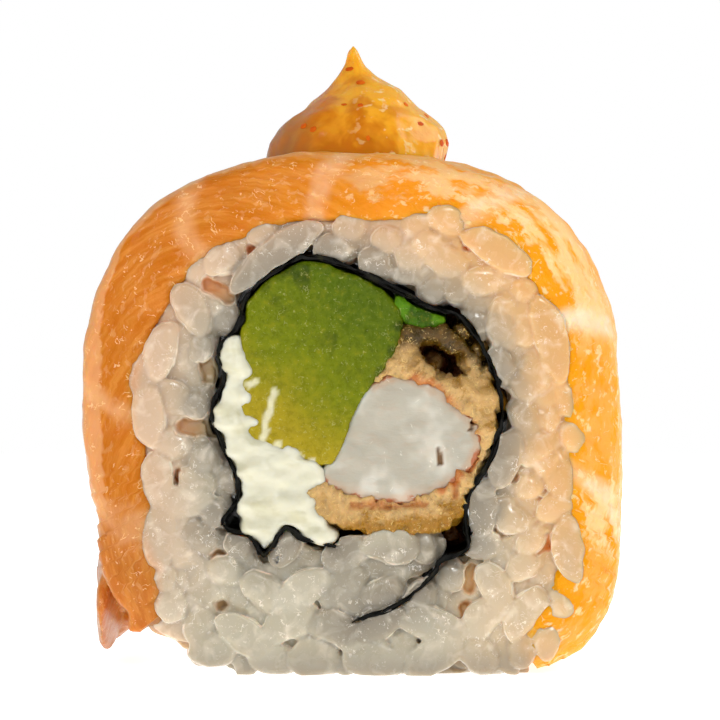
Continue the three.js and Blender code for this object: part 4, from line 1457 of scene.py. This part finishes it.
def make_batter(look):
    batter = copy_of("prawn_batter", "batter")
    add_inner_lumps(batter)
    skin_over(batter, look.step, smoothing=1)
    places = places_of(batter.data)
    crust = bumps(places, look.crust_size, 3) * look.crust_height
    pores = np.array([noise.voronoi(Vector(p / look.pore_size))[0][0] for p in places])
    pits = -look.pore_depth * np.clip(1 - pores / look.pore_width, 0, 1)
    crumbs = look.crumb_height * bumps(places, look.crumb_size, 2)
    crevices = in_marks(places, BATTER_CREVICES, look.crevice_width)
    push_out(batter.data, look.inflate + crust + pits + crumbs - look.crevice_depth * crevices)
    keep_numbers(batter.data, "crevice", crevices)
    keep_numbers(batter.data, "skin", in_marks(places, BATTER_SKIN, look.skin_width))
    keep_numbers(batter.data, "arch", in_marks(places, SCORCHED_ARCH, look.patch_width))
    keep_numbers(batter.data, "pale", in_marks(places, PALE_CRUMB, look.patch_width))
    keep_numbers(batter.data, "near_prawn", nearness(places, "prawn", look.prawn_reach))
    move_to(batter.data, narrowed(places_of(batter.data)))
    hand_over(batter, batter_finish(look), "batter", "prawn_batter")


# Sauce

SAUCE_LIT_ACROSS = (-3 * MM, 9 * MM)  # from the shaded side to the side towards the light
SAUCE_TIP_HEIGHTS = (52 * MM, 58 * MM)  # the tip is painted brighter between these heights, as painted light
SAUCE_SHADE_ACROSS = (-2.5 * MM, -7 * MM)  # the left side is painted darker between these places, as painted shade
SAUCE_HIGHLIGHT_ACROSS = (-2 * MM, 4 * MM)  # and the right side gets painted highlights between these


def sauce_finish(look):
    finish, nodes, shader = new_finish(
        "Spiced sauce", Roughness=0.25, Specular_IOR_Level=0.15, Coat_Weight=0.12, Coat_Roughness=0.15,
        **shine_through((2.0, 0.8, 0.15), 0.7)
    )
    place = nodes.object_place()
    across, _, up = nodes.parts(place)
    cloud = nodes.grain(place, 3 * MM, 3, distortion=0.4)
    # Painted light and shade: brighter towards the light and at the tip, darker on the left.
    lit = nodes.plus(nodes.span(across, *SAUCE_LIT_ACROSS), nodes.span(cloud, 0.3, 0.7, -0.45, 0.45))
    lit = nodes.plus(lit, nodes.span(up, *SAUCE_TIP_HEIGHTS, 0, 0.5))
    tint = nodes.mix(nodes.span(lit, 0.0, 0.9), look.sauce, look.bright)
    painted_shade = nodes.times(nodes.span(across, *SAUCE_SHADE_ACROSS), nodes.span(cloud, 0.3, 0.6, 0.5, 0.9))
    tint = nodes.mix(painted_shade, tint, look.painted_shade)
    # Painted highlights: pale spots towards the right.
    soft = nodes.grain(place, 1.2 * MM, 2)
    wet = nodes.times(nodes.span(soft, 0.6, 0.68), nodes.span(across, *SAUCE_HIGHLIGHT_ACROSS, 0, 0.7))
    tint = nodes.mix(wet, tint, look.glint)
    nodes.feed(shader.inputs["Base Color"], tint)
    rough = nodes.bump(soft, 0.35, 0.3 * MM)
    nodes.feed(shader.inputs["Normal"], rough)
    nodes.feed(shader.inputs["Coat Normal"], rough)
    return finish


def spice_finish(look):
    finish, nodes, shader = new_finish("Red spice", Roughness=0.5, Specular_IOR_Level=0.05)
    shades = nodes.grain(nodes.object_place(), 1.5 * MM, 2)
    tint = nodes.mix(nodes.span(shades, 0.35, 0.65), look.spice, look.dark_spice)
    nodes.feed(shader.inputs["Base Color"], tint)
    return finish


def speck_tree():
    """Geometry Nodes that strew flat specks over a surface."""
    tree, nodes, given, sockets = new_tree(
        "Spice specks",
        {"Density": "Float", "Speck size": "Float", "Seed": "Int", "Material": "Material"},
    )
    spread = {"Mesh": given["Geometry"], "Density": given["Density"], "Seed": given["Seed"]}
    spread = nodes.add("GeometryNodeDistributePointsOnFaces", spread).outputs
    speck = nodes.add("GeometryNodeMeshIcoSphere", {"Radius": 0.5, "Subdivisions": 1}).outputs["Mesh"]
    sides = {"Min": (0.5, 0.4, 0.15), "Max": (1.3, 1.0, 0.25), "Seed": given["Seed"]}
    sides = nodes.add("FunctionNodeRandomValue", sides, data_type="FLOAT_VECTOR").outputs["Value"]
    size = {0: sides, "Scale": given["Speck size"]}
    size = nodes.add("ShaderNodeVectorMath", size, operation="SCALE").outputs[0]
    laid = {"Points": spread["Points"], "Instance": speck, "Rotation": spread["Rotation"], "Scale": size}
    laid = nodes.add("GeometryNodeInstanceOnPoints", laid).outputs[0]
    finish_tree(nodes, laid, given["Material"])
    return tree, sockets


def strew_specks(sauce, look):
    """Puts specks of spice on the sauce."""
    specks = new_piece("spice_specks", sauce.data.copy())
    area = sum(face.area for face in sauce.data.polygons)
    finish = spice_finish(look)
    grow(specks, *speck_tree(), {
        "Density": look.specks / area, "Speck size": look.speck_size, "Seed": look.seed, "Material": finish,
    })
    hand_over(specks, finish, "sauce")


def make_sauce(look):
    sauce = copy_of("sauce_dab", "sauce")
    skin_over(sauce, look.step, smoothing=14)
    places = places_of(sauce.data)
    push_out(sauce.data, look.lump_height * bumps(places, look.lump_size, 2))
    places = places_of(sauce.data)
    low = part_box("sauce_dab")[0].z
    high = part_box("sauce_dab")[1].z
    foot = np.clip(1 - (places[:, 2] - low) / look.foot_height, 0, 1)
    tip = np.clip((places[:, 2] - low) / (high - low) - look.tip_start, 0, 1)
    right_side = np.maximum(look.right_side - look.tip_squeeze * tip, look.tip_least)
    places[:, 0] *= np.where(places[:, 0] > 0, right_side, look.left_side)
    places[:, 2] = low + (places[:, 2] - low) * look.height
    places[:, 0] -= look.lean * foot
    places[:, 2] -= look.sink * foot
    move_to(sauce.data, places)
    strew_specks(sauce, look)
    hand_over(sauce, sauce_finish(look), "sauce", "sauce_dab")


# Stage

# The lights: name, place and width in metres, and power in watts.
LIGHTS = (
    ("Window", (0.30, 0.10, 0.28), 0.25, 0.55),
    ("Back right", (0.26, 0.22, 0.06), 0.18, 0.18),
    ("Front fill", (-0.22, -0.32, 0.24), 0.22, 0.45),
    ("Front sparkle", (0.10, -0.36, 0.22), 0.05, 0.35),
)
LIGHT_AIM = Vector((0, 0, 0.028))  # what they all shine at
FLOOR_RADIUS = 0.7
FLOOR_GREYS = ((0.93, 0.93, 0.93), (0.95, 0.95, 0.95))
FLOOR_GLOW = 0.8  # what keeps it as white as the room


def soft_light(name, place, size, power):
    light = bpy.data.lights.new(name, "AREA")
    light.shape = "DISK"
    light.size = size
    light.energy = power
    lamp = bpy.data.objects.new(name, light)
    lamp.location = place
    lamp.rotation_euler = (LIGHT_AIM - Vector(place)).to_track_quat("-Z", "Y").to_euler()
    bpy.context.scene.collection.objects.link(lamp)


def make_floor():
    mesh = bpy.data.meshes.new("floor")
    with editing(mesh) as edit:
        bmesh.ops.create_circle(edit, cap_ends=True, segments=96, radius=FLOOR_RADIUS)
    floor = new_piece("floor", mesh)
    finish, nodes, shader = new_finish("White floor", Roughness=0.6, Emission_Strength=FLOOR_GLOW)
    nodes.feed(shader.inputs["Emission Color"], (1, 1, 1))
    tint = nodes.mix(nodes.grain(nodes.object_place(), 0.4, 2), *FLOOR_GREYS)
    nodes.feed(shader.inputs["Base Color"], tint)
    mesh.materials.append(finish)


def make_world(look):
    """A white room that is dim on the camera's side, so that wet surfaces keep their colour."""
    world = bpy.data.worlds.new("White room")
    world.use_nodes = True
    bpy.context.scene.world = world
    nodes = Nodes(world.node_tree)
    seen = nodes.add("ShaderNodeLightPath").outputs["Is Camera Ray"]
    direction = nodes.add("ShaderNodeTexCoord").outputs["Generated"]
    light = nodes.span(nodes.parts(direction)[1], -0.6, 0.6, look.front_ambient, look.ambient)
    strength = nodes.math("MAXIMUM", seen, light)
    nodes.feed(world.node_tree.nodes["Background"].inputs["Color"], (1, 1, 1))
    nodes.feed(world.node_tree.nodes["Background"].inputs["Strength"], strength)


def make_camera(look):
    camera = bpy.data.cameras.new("camera")
    camera.sensor_width = 36
    camera.lens = camera.sensor_width * look.distance / look.frame_width
    camera.clip_start = 0.01
    eye = bpy.data.objects.new("camera", camera)
    eye.location = (look.aim_x, FRONT - look.distance, look.aim_z)
    eye.rotation_euler = (math.radians(90), 0, 0)
    bpy.context.scene.collection.objects.link(eye)
    bpy.context.scene.camera = eye


def make_stage(look):
    bpy.context.scene.view_settings.view_transform = "Standard"
    make_floor()
    make_world(look)
    make_camera(look)
    for light in LIGHTS:
        soft_light(*light)


# Operators and panel

class PieceOperator:
    """What the operators share: each makes its pieces from its own group of settings."""

    bl_options = {"REGISTER", "UNDO"}
    group = ""
    make = None

    def execute(self, context):
        type(self).make(getattr(context.scene.uramaki, self.group))
        return {"FINISHED"}


class URAMAKI_OT_salmon(PieceOperator, bpy.types.Operator):
    """Make the draped slice of salmon"""

    bl_idname = "uramaki.salmon"
    bl_label = "Salmon"
    group = "salmon"
    make = staticmethod(make_salmon)


class URAMAKI_OT_rice(PieceOperator, bpy.types.Operator):
    """Pack the rice grains over their core"""

    bl_idname = "uramaki.rice"
    bl_label = "Rice"
    group = "rice"
    make = staticmethod(make_rice)


class URAMAKI_OT_nori(PieceOperator, bpy.types.Operator):
    """Make the curled sheet of nori"""

    bl_idname = "uramaki.nori"
    bl_label = "Nori"
    group = "nori"
    make = staticmethod(make_nori)


class URAMAKI_OT_avocado(PieceOperator, bpy.types.Operator):
    """Make both pieces of avocado"""

    bl_idname = "uramaki.avocado"
    bl_label = "Avocado"
    group = "avocado"
    make = staticmethod(make_avocado)


class URAMAKI_OT_cream(PieceOperator, bpy.types.Operator):
    """Make the cream cheese"""

    bl_idname = "uramaki.cream"
    bl_label = "Cream cheese"
    group = "cream"
    make = staticmethod(make_cream)


class URAMAKI_OT_prawn(PieceOperator, bpy.types.Operator):
    """Make the prawn"""

    bl_idname = "uramaki.prawn"
    bl_label = "Prawn"
    group = "prawn"
    make = staticmethod(make_prawn)


class URAMAKI_OT_batter(PieceOperator, bpy.types.Operator):
    """Make the fried batter round the prawn"""

    bl_idname = "uramaki.batter"
    bl_label = "Batter"
    group = "batter"
    make = staticmethod(make_batter)


class URAMAKI_OT_sauce(PieceOperator, bpy.types.Operator):
    """Make the dab of sauce and its specks"""

    bl_idname = "uramaki.sauce"
    bl_label = "Sauce"
    group = "sauce"
    make = staticmethod(make_sauce)


class URAMAKI_OT_stage(PieceOperator, bpy.types.Operator):
    """Set up camera, floor and light"""

    bl_idname = "uramaki.stage"
    bl_label = "Stage"
    group = "stage"
    make = staticmethod(make_stage)


OPERATORS = (
    URAMAKI_OT_stage, URAMAKI_OT_salmon, URAMAKI_OT_rice, URAMAKI_OT_nori, URAMAKI_OT_avocado,
    URAMAKI_OT_cream, URAMAKI_OT_prawn, URAMAKI_OT_batter, URAMAKI_OT_sauce,
)


class URAMAKI_PT_pieces(bpy.types.Panel):
    """Lists the pieces of the slice and their settings"""

    bl_idname = "URAMAKI_PT_pieces"
    bl_label = "Uramaki roll slice"
    bl_space_type = "VIEW_3D"
    bl_region_type = "UI"
    bl_category = "Uramaki"

    def draw(self, context):
        for operator in OPERATORS:
            settings = getattr(context.scene.uramaki, operator.group)
            box = self.layout.box()
            box.operator(operator.bl_idname)
            for name in type(settings).__annotations__:
                box.prop(settings, name)


CLASSES = (
    SalmonLook, RiceLook, NoriLook, AvocadoLook, CreamLook, PrawnLook, BatterLook, SauceLook, StageLook,
    UramakiLooks, *OPERATORS, URAMAKI_PT_pieces,
)


def register():
    for kind in CLASSES:
        bpy.utils.register_class(kind)
    bpy.types.Scene.uramaki = PointerProperty(type=UramakiLooks)


def unregister():
    del bpy.types.Scene.uramaki
    for kind in reversed(CLASSES):
        bpy.utils.unregister_class(kind)


def main():
    register()
    bpy.ops.uramaki.stage()
    bpy.ops.uramaki.salmon()
    bpy.ops.uramaki.rice()
    bpy.ops.uramaki.nori()
    bpy.ops.uramaki.avocado()
    bpy.ops.uramaki.cream()
    bpy.ops.uramaki.prawn()
    bpy.ops.uramaki.batter()
    bpy.ops.uramaki.sauce()


if __name__ == "__main__":
    main()
